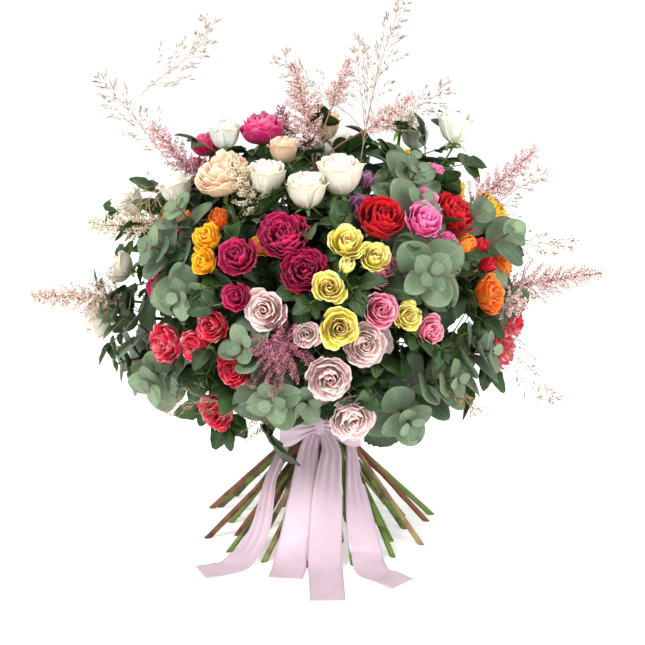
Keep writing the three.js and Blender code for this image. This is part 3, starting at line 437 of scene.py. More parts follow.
class Router:
    """Finds a curve for each stem that clears every other stem and as many blooms as it can."""
    def __init__(self, settled):
        self.blooms = settled
        self.bloom_starts = np.array([bloom.centre for bloom in settled])
        self.bloom_ends = np.array([bloom.centre + 0.1 * bloom.axis for bloom in settled])
        self.bloom_reach = np.array([BLOOM_BACK_SHARE * bloom.size for bloom in settled])
        self.taken = []

    def judge(self, points, radii, owner, end):
        others = [item for item in self.taken if item[3] != owner]
        mine = np.array([bloom is end.bloom for bloom in self.blooms])
        met = 0
        for i in range(len(points) - 1):
            radius = max(radii[i], radii[i + 1])
            if others:
                starts, ends, reach = (np.array([item[k] for item in others]) for k in range(3))
                if (stretch_gaps(points[i], points[i + 1], starts, ends) < radius + reach + STEM_GAP).any():
                    return None
            near = stretch_gaps(points[i], points[i + 1], self.bloom_starts, self.bloom_ends)
            met += int(((near < radius + self.bloom_reach) & ~mine).sum())
        return met

    def take(self, points, radii, owner):
        for i in range(len(points) - 1):
            self.taken.append((points[i], points[i + 1], max(radii[i], radii[i + 1]), owner))

    def best_curve(self, starts, end, steps, grip, radii, owner):
        best, fewest = None, None
        for start, way in starts:
            straight = unit(end.point - start)
            for size in BULGES:
                for k in range(1 if size == 0 else BULGE_TURNS):
                    bulge = square_to(straight, 360 * k / BULGE_TURNS) * size
                    controls = curve_controls(start, way, end, bulge, grip)
                    points = [bezier(controls, i / steps) for i in range(steps + 1)]
                    met = self.judge(points, radii, owner, end)
                    if met is not None and (fewest is None or met < fewest):
                        best, fewest = (controls, points), met
                    if met == 0:
                        self.take(points, radii, owner)
                        return best
        self.take(best[1], radii, owner)
        return best


def taper(start, stop, steps):
    return [start + (stop - start) * i / steps for i in range(steps + 1)]


def lay_out():
    sprays, settled = make_sprays()
    assign_slots(sprays)
    router = Router(settled)
    for spray in sprays:
        start = stem_point(spray.slot, TIE_HEIGHT + STRAIGHT_ABOVE)
        radii = taper(STEM_RADIUS, END_RADII[spray.kind][0], MAIN_STEPS)
        end = spray.ends[0]
        starts = [(start, stem_direction(spray.slot))]
        controls, spray.coarse = router.best_curve(starts, end, MAIN_STEPS, MAIN_GRIP, radii, spray.name)
        spray.main = Line(controls, (radii[0], radii[-1]), end)
    for spray in sprays:
        radii = taper(*END_RADII[spray.kind][1:], TWIG_STEPS)
        for end in spray.ends[1:]:
            starts = []
            for at in BRANCH_AT:
                before, after = spray.coarse[math.floor(at)], spray.coarse[math.ceil(at)]
                starts.append((mix(before, after, at - math.floor(at)), unit(after - before)))
            controls, _ = router.best_curve(starts, end, TWIG_STEPS, TWIG_GRIP, radii, spray.name)
            at = BRANCH_AT[[k for k in range(3) if starts[k][0] is controls[0]][0]]
            root = bezier(spray.main.controls, at / MAIN_STEPS)
            spray.twigs.append(Line((root, *controls[1:]), (radii[0], radii[-1]), end))
    return sprays


def back_from_end(points, length):
    """The point at a distance back from the end of a line, and the way on there."""
    left = length
    for i in range(len(points) - 1, 0, -1):
        step = distance(points[i], points[i - 1])
        if left <= step or i == 1:
            return mix(points[i], points[i - 1], min(1, left / step)), unit(points[i] - points[i - 1])
        left -= step
    return points[0], unit(points[1] - points[0])


# Colours and shader nodes.
def colour(text):
    """A colour written as it looks on a screen, as the linear values that shaders take."""
    parts = [int(text[i:i + 2], 16) / 255 for i in (1, 3, 5)]
    linear = [p / 12.92 if p <= 0.04045 else ((p + 0.055) / 1.055) ** 2.4 for p in parts]
    return (*linear, 1.0)


class Value:
    """What comes out of a shader node. Sums, products and the like of such values add the nodes for them."""
    def __init__(self, tree, socket):
        self.tree = tree
        self.socket = socket

    def __add__(self, other):
        return maths("ADD", self, other)

    def __sub__(self, other):
        return maths("SUBTRACT", self, other)

    def __rsub__(self, other):
        return maths("SUBTRACT", other, self)

    def __mul__(self, other):
        return maths("MULTIPLY", self, other)

    def __truediv__(self, other):
        return maths("DIVIDE", self, other)

    def __abs__(self):
        return maths("ABSOLUTE", self)

    def clamped(self):
        """The value itself, held between 0 and 1 by the node that it comes from."""
        self.socket.node.use_clamp = True
        return self


def feed(socket, value):
    """Sets an input of a node, or links it to what comes out of another one."""
    if isinstance(value, Value):
        value.tree.links.new(value.socket, socket)
    else:
        socket.default_value = value


def put(tree, kind, inputs=None, **settings):
    """Adds a shader node, with its inputs by name or number."""
    node = tree.nodes.new(kind)
    for key, value in settings.items():
        setattr(node, key, value)
    for key, value in (inputs or {}).items():
        feed(node.inputs[key], value)
    return node


def outcome(tree, kind, output, inputs=None, **settings):
    """Adds a shader node and gives one of its outputs."""
    return Value(tree, put(tree, kind, inputs, **settings).outputs[output])


def maths(operation, a, b=0.0):
    tree = (a if isinstance(a, Value) else b).tree
    return outcome(tree, "ShaderNodeMath", 0, {0: a, 1: b}, operation=operation)


def ramp(value, low, high, start=0.0, stop=1.0):
    """A soft step from start to stop as the value goes from low to high."""
    inputs = {"Value": value, "From Min": low, "From Max": high, "To Min": start, "To Max": stop}
    return outcome(value.tree, "ShaderNodeMapRange", "Result", inputs, interpolation_type="SMOOTHSTEP")


def blend(tree, share, a, b, way="MIX"):
    """The second colour mixed into the first by a share from 0 to 1."""
    node = put(tree, "ShaderNodeMix", data_type="RGBA", blend_type=way)
    sockets = {socket.identifier: socket for socket in (*node.inputs, *node.outputs)}
    for key, value in (("Factor_Float", share), ("A_Color", a), ("B_Color", b)):
        feed(sockets[key], value)
    return Value(tree, sockets["Result_Color"])


def split(vector):
    """The three parts of a vector."""
    parts = put(vector.tree, "ShaderNodeSeparateXYZ", {0: vector}).outputs
    return [Value(vector.tree, part) for part in parts]


def object_place(tree):
    return outcome(tree, "ShaderNodeTexCoord", "Object")


def noise(place, scale, detail):
    inputs = {"Vector": place, "Scale": scale, "Detail": detail}
    return outcome(place.tree, "ShaderNodeTexNoise", "Fac", inputs)


def lit(shade, light):
    """A colour made lighter or darker, for a light above or below 1."""
    return outcome(shade.tree, "ShaderNodeHueSaturation", "Color", {"Value": light, "Color": shade})


SURFACE = (("Color", "Color"), ("Height", "Float"), ("Roughness", "Float"))
GROUPS = {}


def new_group(name, inputs, outputs=SURFACE):
    """A node group, with the values given to it and the inputs of its end, both by name."""
    tree = bpy.data.node_groups.new(name, "ShaderNodeTree")
    for way, sockets in (("INPUT", inputs), ("OUTPUT", outputs)):
        for label, kind in sockets:
            tree.interface.new_socket(name=label, in_out=way, socket_type=f"NodeSocket{kind}")
    given = {socket.name: Value(tree, socket) for socket in tree.nodes.new("NodeGroupInput").outputs}
    return tree, given, tree.nodes.new("NodeGroupOutput").inputs


def hand_out(end, **values):
    for key, value in values.items():
        feed(end[key], value)


def group_node(tree, make, inputs):
    """Places the shared node group that a function makes, which is made only once."""
    if make.__name__ not in GROUPS:
        GROUPS[make.__name__] = make()
    node = put(tree, "ShaderNodeGroup", inputs, node_tree=GROUPS[make.__name__])
    return {socket.name: Value(tree, socket) for socket in node.outputs}


def petal_group():
    """Petal colours from heart to rim, with fine veins. Span holds across, along and rank on each petal."""
    tree, given, end = new_group(
        "Petal tones",
        [("Span", "Vector"), ("Tone", "Float"), ("Heart", "Color"), ("Body", "Color"), ("Rim", "Color"),
         ("Base", "Color"), ("Flush", "Color"), ("Rim width", "Float")])
    across, along, rank = split(given["Span"])
    centred = abs(across - 0.5)
    cloud = noise(object_place(tree), 90.0, 2.0)
    shade = blend(tree, ramp(rank, 0.45, 0.0), given["Body"], given["Heart"])
    base = (ramp(rank, 0.8, 1.0) * 0.25 + 0.32 - along).clamped()
    base = ((base + (cloud - 0.5)) * 1.7).clamped()
    shade = blend(tree, base, shade, given["Base"])
    rim_from = 1.0 - given["Rim width"]
    edge = maths("MAXIMUM", along, centred * 1.9)
    edge = edge + (cloud - 0.5) * 0.25
    shade = blend(tree, ramp(edge, rim_from, 1.02, 0.0, 0.9), shade, given["Rim"])
    flush = ramp(edge, 0.90, 1.04) * ramp(cloud, 0.50, 0.58) * ramp(rank, 0.45, 0.85, 0.1, 0.75)
    shade = blend(tree, flush, shade, given["Flush"])
    fan = (across - 0.5) / (along + 0.35)
    veins = maths("SINE", fan * 110.0 + cloud * 6.0)
    depth = veins * 0.018 + 1.0
    shade = lit(shade, (given["Tone"] * 0.18 + 0.92) * depth)
    hand_out(end, Color=shade, Height=veins * 0.5, Roughness=ramp(along, 0.0, 1.0, 0.62, 0.48))
    return tree


def leaf_group():
    """Leaf colours with a midrib and side veins. Span holds across, along and age on each leaf."""
    tree, given, end = new_group(
        "Leaf veins",
        [("Span", "Vector"), ("Tone", "Float"), ("Blade", "Color"), ("Young", "Color"), ("Vein", "Color"),
         ("Rim", "Color"), ("Side veins", "Float"), ("Vein strength", "Float")])
    across, along, age = split(given["Span"])
    centred = abs(across - 0.5) * 2.0
    place = object_place(tree)
    cloud = noise(place, 55.0, 4.0)
    grain = noise(place, 900.0, 2.0)
    midrib = ramp(centred, 0.075, 0.02)
    comb = along * given["Side veins"] + centred * -2.2 + cloud * 0.5
    comb = abs(maths("FRACT", comb) - 0.5)
    side = ramp(comb, 0.10, 0.0) * ramp(centred, 1.0, 0.6)
    veins = maths("MAXIMUM", midrib, side * 0.6)
    shade = blend(tree, age, given["Blade"], given["Young"])
    shade = blend(tree, ramp(cloud, 0.35, 0.7, 0.0, 0.35), shade, given["Young"])
    shade = blend(tree, veins * given["Vein strength"], shade, given["Vein"])
    shade = blend(tree, ramp(centred, 0.90, 1.0, 0.0, 0.8), shade, given["Rim"])
    shade = lit(shade, (given["Tone"] * 0.4 + 0.78) * ramp(grain, 0.3, 0.7, 0.92, 1.08))
    height = veins * -1.0 + grain * 0.15
    hand_out(end, Color=shade, Height=height, Roughness=ramp(cloud, 0.3, 0.8, 0.42, 0.62))
    return tree


def fibre_group():
    """Long streaks and blotches, as on stems and culms. Span holds round, along and age."""
    tree, given, end = new_group(
        "Fibre streaks",
        [("Span", "Vector"), ("Main", "Color"), ("Streak", "Color"), ("Blotch", "Color"),
         ("Blotch share", "Float")], SURFACE[:2])
    turn, along, age = split(given["Span"])
    drawn_out = outcome(tree, "ShaderNodeCombineXYZ", 0, {0: turn * 14.0, 1: along * 3.0, 2: age})
    streak = noise(drawn_out, 3.0, 3.0)
    blotch = noise(object_place(tree), 45.0, 3.0)
    shade = blend(tree, ramp(streak, 0.35, 0.65), given["Main"], given["Streak"])
    edge = 1.0 - given["Blotch share"]
    shade = blend(tree, ramp(blotch + age * 0.25, edge, edge + 0.18), shade, given["Blotch"])
    hand_out(end, Color=shade, Height=streak)
    return tree


def span_of(tree):
    return outcome(tree, "ShaderNodeAttribute", "Vector", attribute_name="span")


def tone_of(tree):
    return outcome(tree, "ShaderNodeAttribute", "Fac", attribute_name="tone")


def finish_surface(tree, shade, roughness, height=None, bump=0.2, lift=0.0002, **values):
    """The shader of a material: colour, roughness, and relief from a height."""
    inputs = {"Base Color": shade, "Roughness": roughness}
    if height is not None:
        relief = {"Height": height, "Strength": bump, "Distance": lift}
        inputs["Normal"] = outcome(tree, "ShaderNodeBump", "Normal", relief)
    inputs.update({key.replace("_", " "): value for key, value in values.items()})
    put(tree, "ShaderNodeOutputMaterial", {0: outcome(tree, "ShaderNodeBsdfPrincipled", 0, inputs)})


def new_material(name):
    material = bpy.data.materials.new(name)
    material.use_nodes = True
    material.node_tree.nodes.clear()
    return material, material.node_tree


def shared_material(name, fill, *values):
    """The material of that name. The first time, fill adds its nodes and gives its plain colour."""
    if name not in bpy.data.materials:
        material, tree = new_material(name)
        material.diffuse_color = fill(tree, *values)
    return bpy.data.materials[name]


RIM_WIDTH = 0.22
RIM_WIDTHS = {"coral": 0.10, "blush": 0.32, "hot_pink": 0.30}


def petal_material(name):
    return shared_material(f"petal_{name}", fill_petal, name)


def fill_petal(tree, name):
    heart, body, rim, base, flush = (colour(text) for text in PETALS[name])
    made = group_node(tree, petal_group, {
        "Span": span_of(tree), "Tone": tone_of(tree), "Heart": heart, "Body": body, "Rim": rim, "Base": base,
        "Flush": flush, "Rim width": RIM_WIDTHS.get(name, RIM_WIDTH)})
    finish_surface(tree, made["Color"], made["Roughness"], made["Height"], 0.10, 0.0002,
                   Subsurface_Weight=0.3, Subsurface_Radius=(0.0012, 0.0006, 0.0005), Subsurface_Scale=1.0,
                   Sheen_Weight=0.06, Sheen_Roughness=0.5, Specular_IOR_Level=0.18)
    return body


# Leaf materials: blade, young parts, veins and rim, then the number of side veins and how much veins show.
LEAVES = {
    "eucalyptus_leaf": ("#4a614a", "#788e6c", "#a1b095", "#8a6a58", 9.0, 0.24),
    "rose_leaf": ("#142e12", "#31501e", "#5f8040", "#3f2f20", 9.0, 0.35),
    "sepal": ("#55782f", "#83a04a", "#9db468", "#788e48", 5.0, 0.25),
}


def leaf_material(name):
    return shared_material(name, fill_leaf, *LEAVES[name])


def fill_leaf(tree, blade, young, vein, rim, side_veins, strength):
    made = group_node(tree, leaf_group, {
        "Span": span_of(tree), "Tone": tone_of(tree), "Blade": colour(blade), "Young": colour(young),
        "Vein": colour(vein), "Rim": colour(rim), "Side veins": side_veins, "Vein strength": strength})
    finish_surface(tree, made["Color"], made["Roughness"], made["Height"], 0.35, 0.0003,
                   Subsurface_Weight=0.05, Subsurface_Radius=(0.002, 0.004, 0.001), Subsurface_Scale=0.4,
                   Specular_IOR_Level=0.45)
    return colour(blade)


# Stem materials: the main colour, the streaks and the blotches, then the share of the stem that has blotches.
STALKS = {
    "stem_green": ("#506e28", "#7a9440", "#4e481f", 0.36),
    "stem_olive": ("#6c7a30", "#8f9a4c", "#70452a", 0.44),
    "stem_russet": ("#6e3c24", "#94603a", "#452818", 0.42),
    "stem_cut": ("#cfdba0", "#e4e8c4", "#b8c47e", 0.30),
    "astilbe_stalk": ("#97864f", "#b5a26c", "#9a6a5c", 0.42),
    "grass_straw": ("#b59f7a", "#cdbd9a", "#8f7658", 0.40),
    "grass_seed": ("#94714c", "#b8966c", "#74524a", 0.50),
    "thorn": ("#8f6a3c", "#b08a4e", "#7c4a2a", 0.40),
}


def stalk_material(name):
    return shared_material(name, fill_stalk, *STALKS[name])


def fill_stalk(tree, main_text, streak, blotch, share):
    made = group_node(tree, fibre_group, {
        "Span": span_of(tree), "Main": colour(main_text), "Streak": colour(streak), "Blotch": colour(blotch),
        "Blotch share": share})
    finish_surface(tree, made["Color"], 0.5, made["Height"], 0.4, 0.0003, Specular_IOR_Level=0.4)
    return colour(main_text)


PLUME_SHADE = (0.72, 0.66, 0.60, 1.0)


def plume_material(name, main_text, pale_text):
    return shared_material(name, fill_plume, colour(main_text), colour(pale_text))


def fill_plume(tree, main_colour, pale_colour):
    tone = tone_of(tree)
    cloud = noise(object_place(tree), 60.0, 2.0)
    pale = (ramp(tone, 0.05, 0.85) + (cloud - 0.5)).clamped()
    shade = blend(tree, pale, main_colour, pale_colour)
    dark = blend(tree, 1.0, main_colour, PLUME_SHADE, "MULTIPLY")
    shade = blend(tree, ramp(tone, 0.22, 0.0), shade, dark)
    finish_surface(tree, shade, 0.7, Subsurface_Weight=0.1, Subsurface_Radius=(0.002, 0.001, 0.001),
                   Sheen_Weight=0.2)
    return main_colour


def ring_frames(points):
    """For each point of a line: the point, the way on, and two directions square to it."""
    frames = []
    across = None
    for i, centre in enumerate(points):
        way = unit(points[min(i + 1, len(points) - 1)] - points[max(i - 1, 0)])
        across = square_to(way, 0) if across is None else unit(across - way * (across @ way))
        frames.append((centre, way, across, np.cross(across, way)))
    return frames


# Mesh work. Once the working mesh of a Mesher has this many points, it joins the whole.
JOIN_FROM = 400
SEAM_WIDTH = 0.001
SEAM_GAP = 0.0001


def turned_to(way):
    """The turn that brings the upright axis onto a direction."""
    return Vector(way).to_track_quat("Z", "Y").to_matrix()


class Mesher:
    """Gathers one piece's shapes in millimetres, with the values that its materials read.

    The operators slow down on a large mesh, so they work on a small one, which joins the whole now and then.
    """
    def __init__(self, name):
        self.name = name
        self.whole = bmesh.new()
        self.bm = bmesh.new()
        self.carrier = bpy.data.meshes.new(name)
        self.materials = []
        self.add_layers(self.whole)
        self.add_layers(self.bm)

    def add_layers(self, mesh):
        self.span = mesh.verts.layers.float_vector.new("span")
        self.tone = mesh.verts.layers.float.new("tone")

    def join(self, limit=0):
        """Moves the shapes made so far into the whole, once they have more points than the limit."""
        if len(self.bm.verts) > limit:
            self.bm.to_mesh(self.carrier)
            self.whole.from_mesh(self.carrier)
            self.bm.clear()
            self.add_layers(self.bm)

    def slot_of(self, material):
        if material not in self.materials:
            self.materials.append(material)
        return self.materials.index(material)

    def grid(self, columns, rows, rank, tone):
        """The points of a new grid, each with its across and along from 0 to 1, which the span keeps too."""
        self.join(JOIN_FROM)
        verts = bmesh.ops.create_grid(self.bm, x_segments=columns, y_segments=rows, size=0.5)["verts"]
        spans = [(vert.co.x + 0.5, vert.co.y + 0.5) for vert in verts]
        for vert, span in zip(verts, spans):
            vert[self.span] = (*span, rank)
            vert[self.tone] = tone
        return verts, spans

    def coat(self, faces, material):
        index = self.slot_of(material)
        for face in faces:
            face.material_index = index
            face.smooth = True

    def sheet(self, columns, rows, place, material, tone=0.5, rank=0.0, thickness=0.0):
        """A surface from a grid: place gives a point for across and along, each from 0 to 1."""
        verts, spans = self.grid(columns, rows, rank, tone)
        for vert, span in zip(verts, spans):
            vert.co = place(*span)
        faces = faces_of(verts)
        self.coat(faces, material)
        if thickness:
            bmesh.ops.solidify(self.bm, geom=faces, thickness=thickness)
        return verts

    def tube(self, points, radius_at, sides, material, rank=0.0, level_foot=False, cap=None):
        """A closed tube along points: a grid rolled up, with its seam and its ends closed."""
        frames = ring_frames(points)
        count = len(points) - 1
        verts, spans = self.grid(sides, count, rank, 0.5)
        for vert, (across, along) in zip(verts, spans):
            step = round(along * count)
            centre, way, side, aside = frames[step]
            radius, turn = radius_at(along), 2 * math.pi * across
            spot = centre + radius * (math.cos(turn) * side + math.sin(turn) * aside)
            if step == 0 and level_foot:
                spot = spot + way * ((centre[2] - spot[2]) / way[2])
            vert.co = spot
        seam = [vert for vert, span in zip(verts, spans) if not SEAM_WIDTH <= span[0] <= 1 - SEAM_WIDTH]
        bmesh.ops.remove_doubles(self.bm, verts=seam, dist=SEAM_GAP)
        verts = [vert for vert in verts if vert.is_valid]
        edges = dict.fromkeys(edge for vert in verts for edge in vert.link_edges)
        open_edges = [edge for edge in edges if len(edge.link_faces) == 1]
        ends = bmesh.ops.edgeloop_fill(self.bm, edges=open_edges)["faces"]
        faces = faces_of(verts)
        bmesh.ops.recalc_face_normals(self.bm, faces=faces)
        self.coat(faces, material)
        for face in ends:
            face.smooth = False
            if cap and face.calc_center_median().z < frames[0][0][2] + 1:
                face.material_index = self.slot_of(cap)

    def bead(self, place, along, length, width, material, tone, sides=4, rows=2):
        """A small pointed bead, such as a floret or a grain."""
        self.join(JOIN_FROM)
        pose = Matrix.Translation(Vector(place)) @ turned_to(along).to_4x4()
        size = Matrix.Diagonal((width / 2, width / 2, length / 2, 1.0))
        verts = bmesh.ops.create_uvsphere(self.bm, u_segments=sides, v_segments=rows, radius=1,
                                          matrix=pose @ size)["verts"]
        for vert in verts:
            vert[self.tone] = tone
        self.coat(faces_of(verts), material)

    def copy_of(self, mesh, place, along, turn, size):
        """A copy of a small ready mesh, with its upright axis along the given direction."""
        self.join(JOIN_FROM)
        before = set(self.bm.verts)
        self.bm.from_mesh(mesh)
        added = [vert for vert in self.bm.verts if vert not in before]
        pose = turned_to(along).to_4x4() @ Matrix.Rotation(math.radians(turn), 4, "Z")
        matrix = Matrix.Translation(Vector(place)) @ pose @ Matrix.Scale(size, 4)
        bmesh.ops.transform(self.bm, matrix=matrix, verts=added)

    def finish(self, slot, *nodes):
        """Makes the shapes an object in metres, which rides on the root and replaces CAD nodes."""
        self.join()
        mesh = self.carrier
        mesh.clear_geometry()
        bmesh.ops.scale(self.whole, vec=(MM, MM, MM), verts=self.whole.verts)
        self.whole.to_mesh(mesh)
        self.whole.free()
        self.bm.free()
        piece = bpy.data.objects.new(self.name, mesh)
        for material in self.materials:
            mesh.materials.append(material)
        bpy.context.scene.collection.objects.link(piece)
        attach(piece, "root")
        if nodes:
            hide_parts(*nodes)
        return piece


def faces_of(verts):
    """The faces at some points, each once, in the same order on every run."""
    return list(dict.fromkeys(face for vert in verts for face in vert.link_faces))


# Blooms. Sizes in a form are shares of the bloom's diameter; pairs run from the heart to the outermost petal.
Form = namedtuple("Form", "petals belly tip_radius tip_height width curl ruffle point foot")
FORMS = {
    "garden": Form(40, (0.06, 0.49), (0.04, 0.50), (0.20, 0.27, 0.06), (0.14, 0.33),
                   0.05, 0.042, 0.00, -0.40),
    "spray": Form(26, (0.06, 0.47), (0.04, 0.50), (0.24, 0.28, 0.09), (0.15, 0.33),
                  0.06, 0.028, 0.02, -0.40),
    "goblet": Form(26, (0.06, 0.46), (0.03, 0.44), (0.42, 0.41, 0.31), (0.17, 0.38),
                   0.11, 0.016, 0.01, -0.46),
    "bud": Form(11, (0.07, 0.40), (0.03, 0.22), (0.46, 0.42, 0.34), (0.18, 0.34),
                0.02, 0.008, 0.03, -0.46),
}
BUD_BELOW = 28
GARDEN_FROM = 44


def form_of(bloom):
    if bloom.size < BUD_BELOW:
        return FORMS["bud"]
    if bloom.form == "goblet":
        return FORMS["goblet"]
    return FORMS["garden" if bloom.size >= GARDEN_FROM else "spray"]


def cubic(a, b, c, d, t):
    s = 1 - t
    return a * s * s * s + 3 * b * s * s * t + 3 * c * s * t * t + d * t * t * t


def petal_place(form, rank, turn, wobble, seed, calm):
    """How one petal lies in its bloom, as a function of across and along."""
    ruffle = form.ruffle * calm
    loose = 0.08 + 0.20 * math.sin(math.pi * min(1.0, rank * 1.3))
    belly = mix(*form.belly, rank ** 0.85) * (1 + 0.10 * wobble)
    tip_radius = mix(*form.tip_radius, rank) * (1 + loose * wobble)
    tip_height = float(np.interp(rank, (0, 0.45, 1), form.tip_height)) + 0.05 * swing(seed + 4)
    width = mix(*form.width, rank) * (0.85 + 0.35 * draw(seed + 5))
    phase = 6.28 * draw(seed)

    def place(across, along):
        # The petal's line from its foot to its tip, out from the bloom's middle and up, with rounded corners.
        u = 2 * across - 1
        t = along * (1 - 0.30 * u * u * along)
        r = cubic(0.02, belly, belly * 1.06, tip_radius, t)
        z = cubic(form.foot, form.foot + 0.03 + 0.08 * (1 - rank), tip_height - 0.20 + 0.06 * rank,
                  tip_height, t)

        # The lip curls outward, its rim is waved, and the outer petals come to a soft point.
        lip = smooth(0.68, 1.0, t) * (0.15 + 0.85 * rank)
        r += form.curl * lip
        z -= form.curl * 0.9 * lip * lip
        wave = t * t * (0.75 + 0.25 * rank)
        z += ruffle * math.sin(1.9 * math.pi * u + phase) * wave
        r += ruffle * 0.9 * math.cos(2.3 * math.pi * u + phase * 1.7) * wave
        r += form.point * (1 - abs(u)) * smooth(0.8, 1.0, t) * rank
        r += 0.05 * rank * (abs(u) ** 3) * t

        # The petal is bent round the bloom's middle, and one side of it stands out over its neighbour.
        arc = width * (0.32 + 0.68 * math.sin(min(1.0, t / 0.62) * math.pi / 2))
        angle = turn + u * arc / max(r, 0.06)
        r *= 1 + 0.16 * u * (1 - rank)
        return r * math.cos(angle), r * math.sin(angle), z

    return place


def petal_grid(rank):
    """Columns and rows of a petal. The outer petals show most, so they are the finest."""
    return (8, 7) if rank > 0.6 else (6, 5) if rank > 0.3 else (5, 4)


PETAL_THICKNESS = 0.3
LEAF_THICKNESS = 0.4
ROUND_LEAF_THICKNESS = 0.45
CALYX_LONG = 0.22
CALYX_WIDE = 0.20
SEPALS = 5


def add_bloom(mesher, bloom, petal, calyx, seed, calm):
    form = form_of(bloom)
    pose = np.array(turned_to(bloom.axis)) * bloom.size
    for k in range(form.petals):
        rank = (k / (form.petals - 1)) ** 0.9
        turn = GOLDEN_TURN * k + 0.5 * swing(seed + 2.9 * k) + seed
        shape = petal_place(form, rank, turn, swing(seed + 3.1 * k), seed + 1.7 * k, calm)
        mesher.sheet(*petal_grid(rank), lambda u, v: pose @ np.array(shape(u, v)) + bloom.centre, petal,
                     tone=draw(seed + 5.3 * k), rank=rank, thickness=PETAL_THICKNESS)
    base = bloom.centre + bloom.axis * bloom.size * (form.foot + 0.01)
    mesher.bead(base, bloom.axis, bloom.size * CALYX_LONG, bloom.size * CALYX_WIDE, calyx, 0.5, 8, 5)
    for k in range(SEPALS):
        turn = math.radians(360 / SEPALS * k) + seed
        droop = 0.5 + 0.5 * draw(seed + k)

        def sepal(across, along):
            u = (2 * across - 1) * 0.055 * math.sin(math.pi * (0.12 + 0.86 * along)) ** 0.8
            r = 0.05 + 0.30 * along
            z = form.foot + 0.02 + (0.16 - 0.42 * droop) * along * along
            x, y = r * math.cos(turn) - u * math.sin(turn), r * math.sin(turn) + u * math.cos(turn)
            return pose @ np.array((x, y, z)) + bloom.centre

        mesher.sheet(2, 5, sepal, calyx, tone=draw(seed + k), rank=0.4, thickness=LEAF_THICKNESS)


# Leaves. The small ones keep clear of the blooms, and small rose leaves keep off the bow.
CAGE = {}
FRONT_CLEARANCE = 60
SIDE_CLEARANCE_SHARE = 0.47
BOW_TOP = 168
BOW_REACH = 62


def clear_of_blooms(*points):
    """Whether none of the points lies in a bloom, or close in front of one."""
    if not CAGE:
        blooms = [bloom for _, spray in SPRAYS.values() for bloom in spray.blooms]
        CAGE["centres"] = np.array([bloom.centre for bloom in blooms])
        CAGE["axes"] = np.array([bloom.axis for bloom in blooms])
        CAGE["sizes"] = np.array([bloom.size for bloom in blooms])
    for point in points:
        away = np.array(point) - CAGE["centres"]
        ahead = (away * CAGE["axes"]).sum(axis=1)
        aside = np.linalg.norm(away - ahead[:, None] * CAGE["axes"], axis=1)
        within = (ahead > -BLOOM_BACK_SHARE * CAGE["sizes"]) & (ahead < FRONT_CLEARANCE)
        if (within & (aside < SIDE_CLEARANCE_SHARE * CAGE["sizes"])).any():
            return False
    return True


def hides_bow(point):
    """Whether a point hangs in front of the bow and its tails."""
    return point[1] < 0 and abs(point[0]) < BOW_REACH and point[2] < BOW_TOP


def leaf_frame(along, normal):
    side = unit(np.cross(along, normal))
    return side, np.cross(side, along)


def round_leaf(mesher, base, along, normal, size, material, seed):
    """A round eucalyptus leaf, slightly cupped and waved, that sits close to its twig."""
    side, up = leaf_frame(along, normal)
    cup = 0.10 + 0.16 * draw(seed)
    bend = -0.12 * draw(seed + 1)

    def place(across, along_leaf):
        u, v = 2 * across - 1, 2 * along_leaf - 1
        x = u * math.sqrt(1 - v * v / 2) * 0.46
        y = v * math.sqrt(1 - u * u / 2) * 0.5
        if v > 0:
            y += 0.05 * (1 - abs(u)) * v
        x *= 1 + 0.05 * math.sin(5 * y + seed)
        z = cup * (x * x * 2.2) + bend * (y + 0.5) ** 2 + 0.02 * math.sin(9 * x + seed)
        return base + size * ((y + 0.5) * along + x * side + z * up)

    mesher.sheet(7, 7, place, material, tone=draw(seed + 2), rank=draw(seed + 3),
                 thickness=ROUND_LEAF_THICKNESS)


def pointed_leaf(mesher, base, along, normal, length, width, material, seed, fine=True):
    """A rose leaflet with a toothed rim, folded a little along its midrib."""
    side, up = leaf_frame(along, normal)
    droop = 0.10 + 0.25 * draw(seed)
    fold = 0.18 + 0.15 * draw(seed + 1)
    columns, rows = (4, 14) if fine else (2, 6)

    def place(across, along_leaf):
        u, v = 2 * across - 1, along_leaf
        half = 0.5 * math.sin(math.pi * min(1.0, 0.04 + 0.92 * v ** 0.82)) ** 0.85 + 0.015
        tooth = 1 + (0.07 if round(v * rows) % 2 else -0.05) * (abs(u) > 0.95) * (0.1 < v < 0.95)
        x = u * half * tooth
        z = fold * abs(x) - droop * v * v + 0.02 * math.sin(11 * v + seed) * abs(u)
        return base + length * v * along + width * x * side + length * z * up

    mesher.sheet(columns, rows, place, material, tone=draw(seed + 2), rank=0.7 * draw(seed + 3),
                 thickness=LEAF_THICKNESS)


def compound_leaf(mesher, base, along, normal, length, seed, leaflets):
    """A rose leaf: a stalk with an end leaflet and one or two pairs."""
    green, stalk = leaf_material("rose_leaf"), stalk_material("stem_green")
    side, up = leaf_frame(along, normal)
    tip = base + along * length
    if hides_bow(tip) or not clear_of_blooms(mix(base, tip, 0.65), mix(base, tip, 0.85), tip):
        return
    stalk_line = [base, mix(base, tip, 0.5) + up * length * 0.02, mix(base, tip, 0.62)]
    mesher.tube(stalk_line, lambda t: 0.8 - 0.3 * t, 4, stalk)
    pointed_leaf(mesher, mix(base, tip, 0.6), along, normal, length * 0.45, length * 0.30, green, seed, False)
    for pair in range((leaflets - 1) // 2):
        at = mix(base, tip, 0.56 - 0.24 * pair)
        for hand in (-1, 1):
            way = unit(along * 0.45 + side * hand * 0.9)
            size = length * (0.36 - 0.06 * pair)
            if hides_bow(at + way * size) or not clear_of_blooms(at + way * size * 0.6, at + way * size):
                continue
            pointed_leaf(mesher, at, way, normal, size, size * 0.66, green, seed + 7 * hand + pair, False)


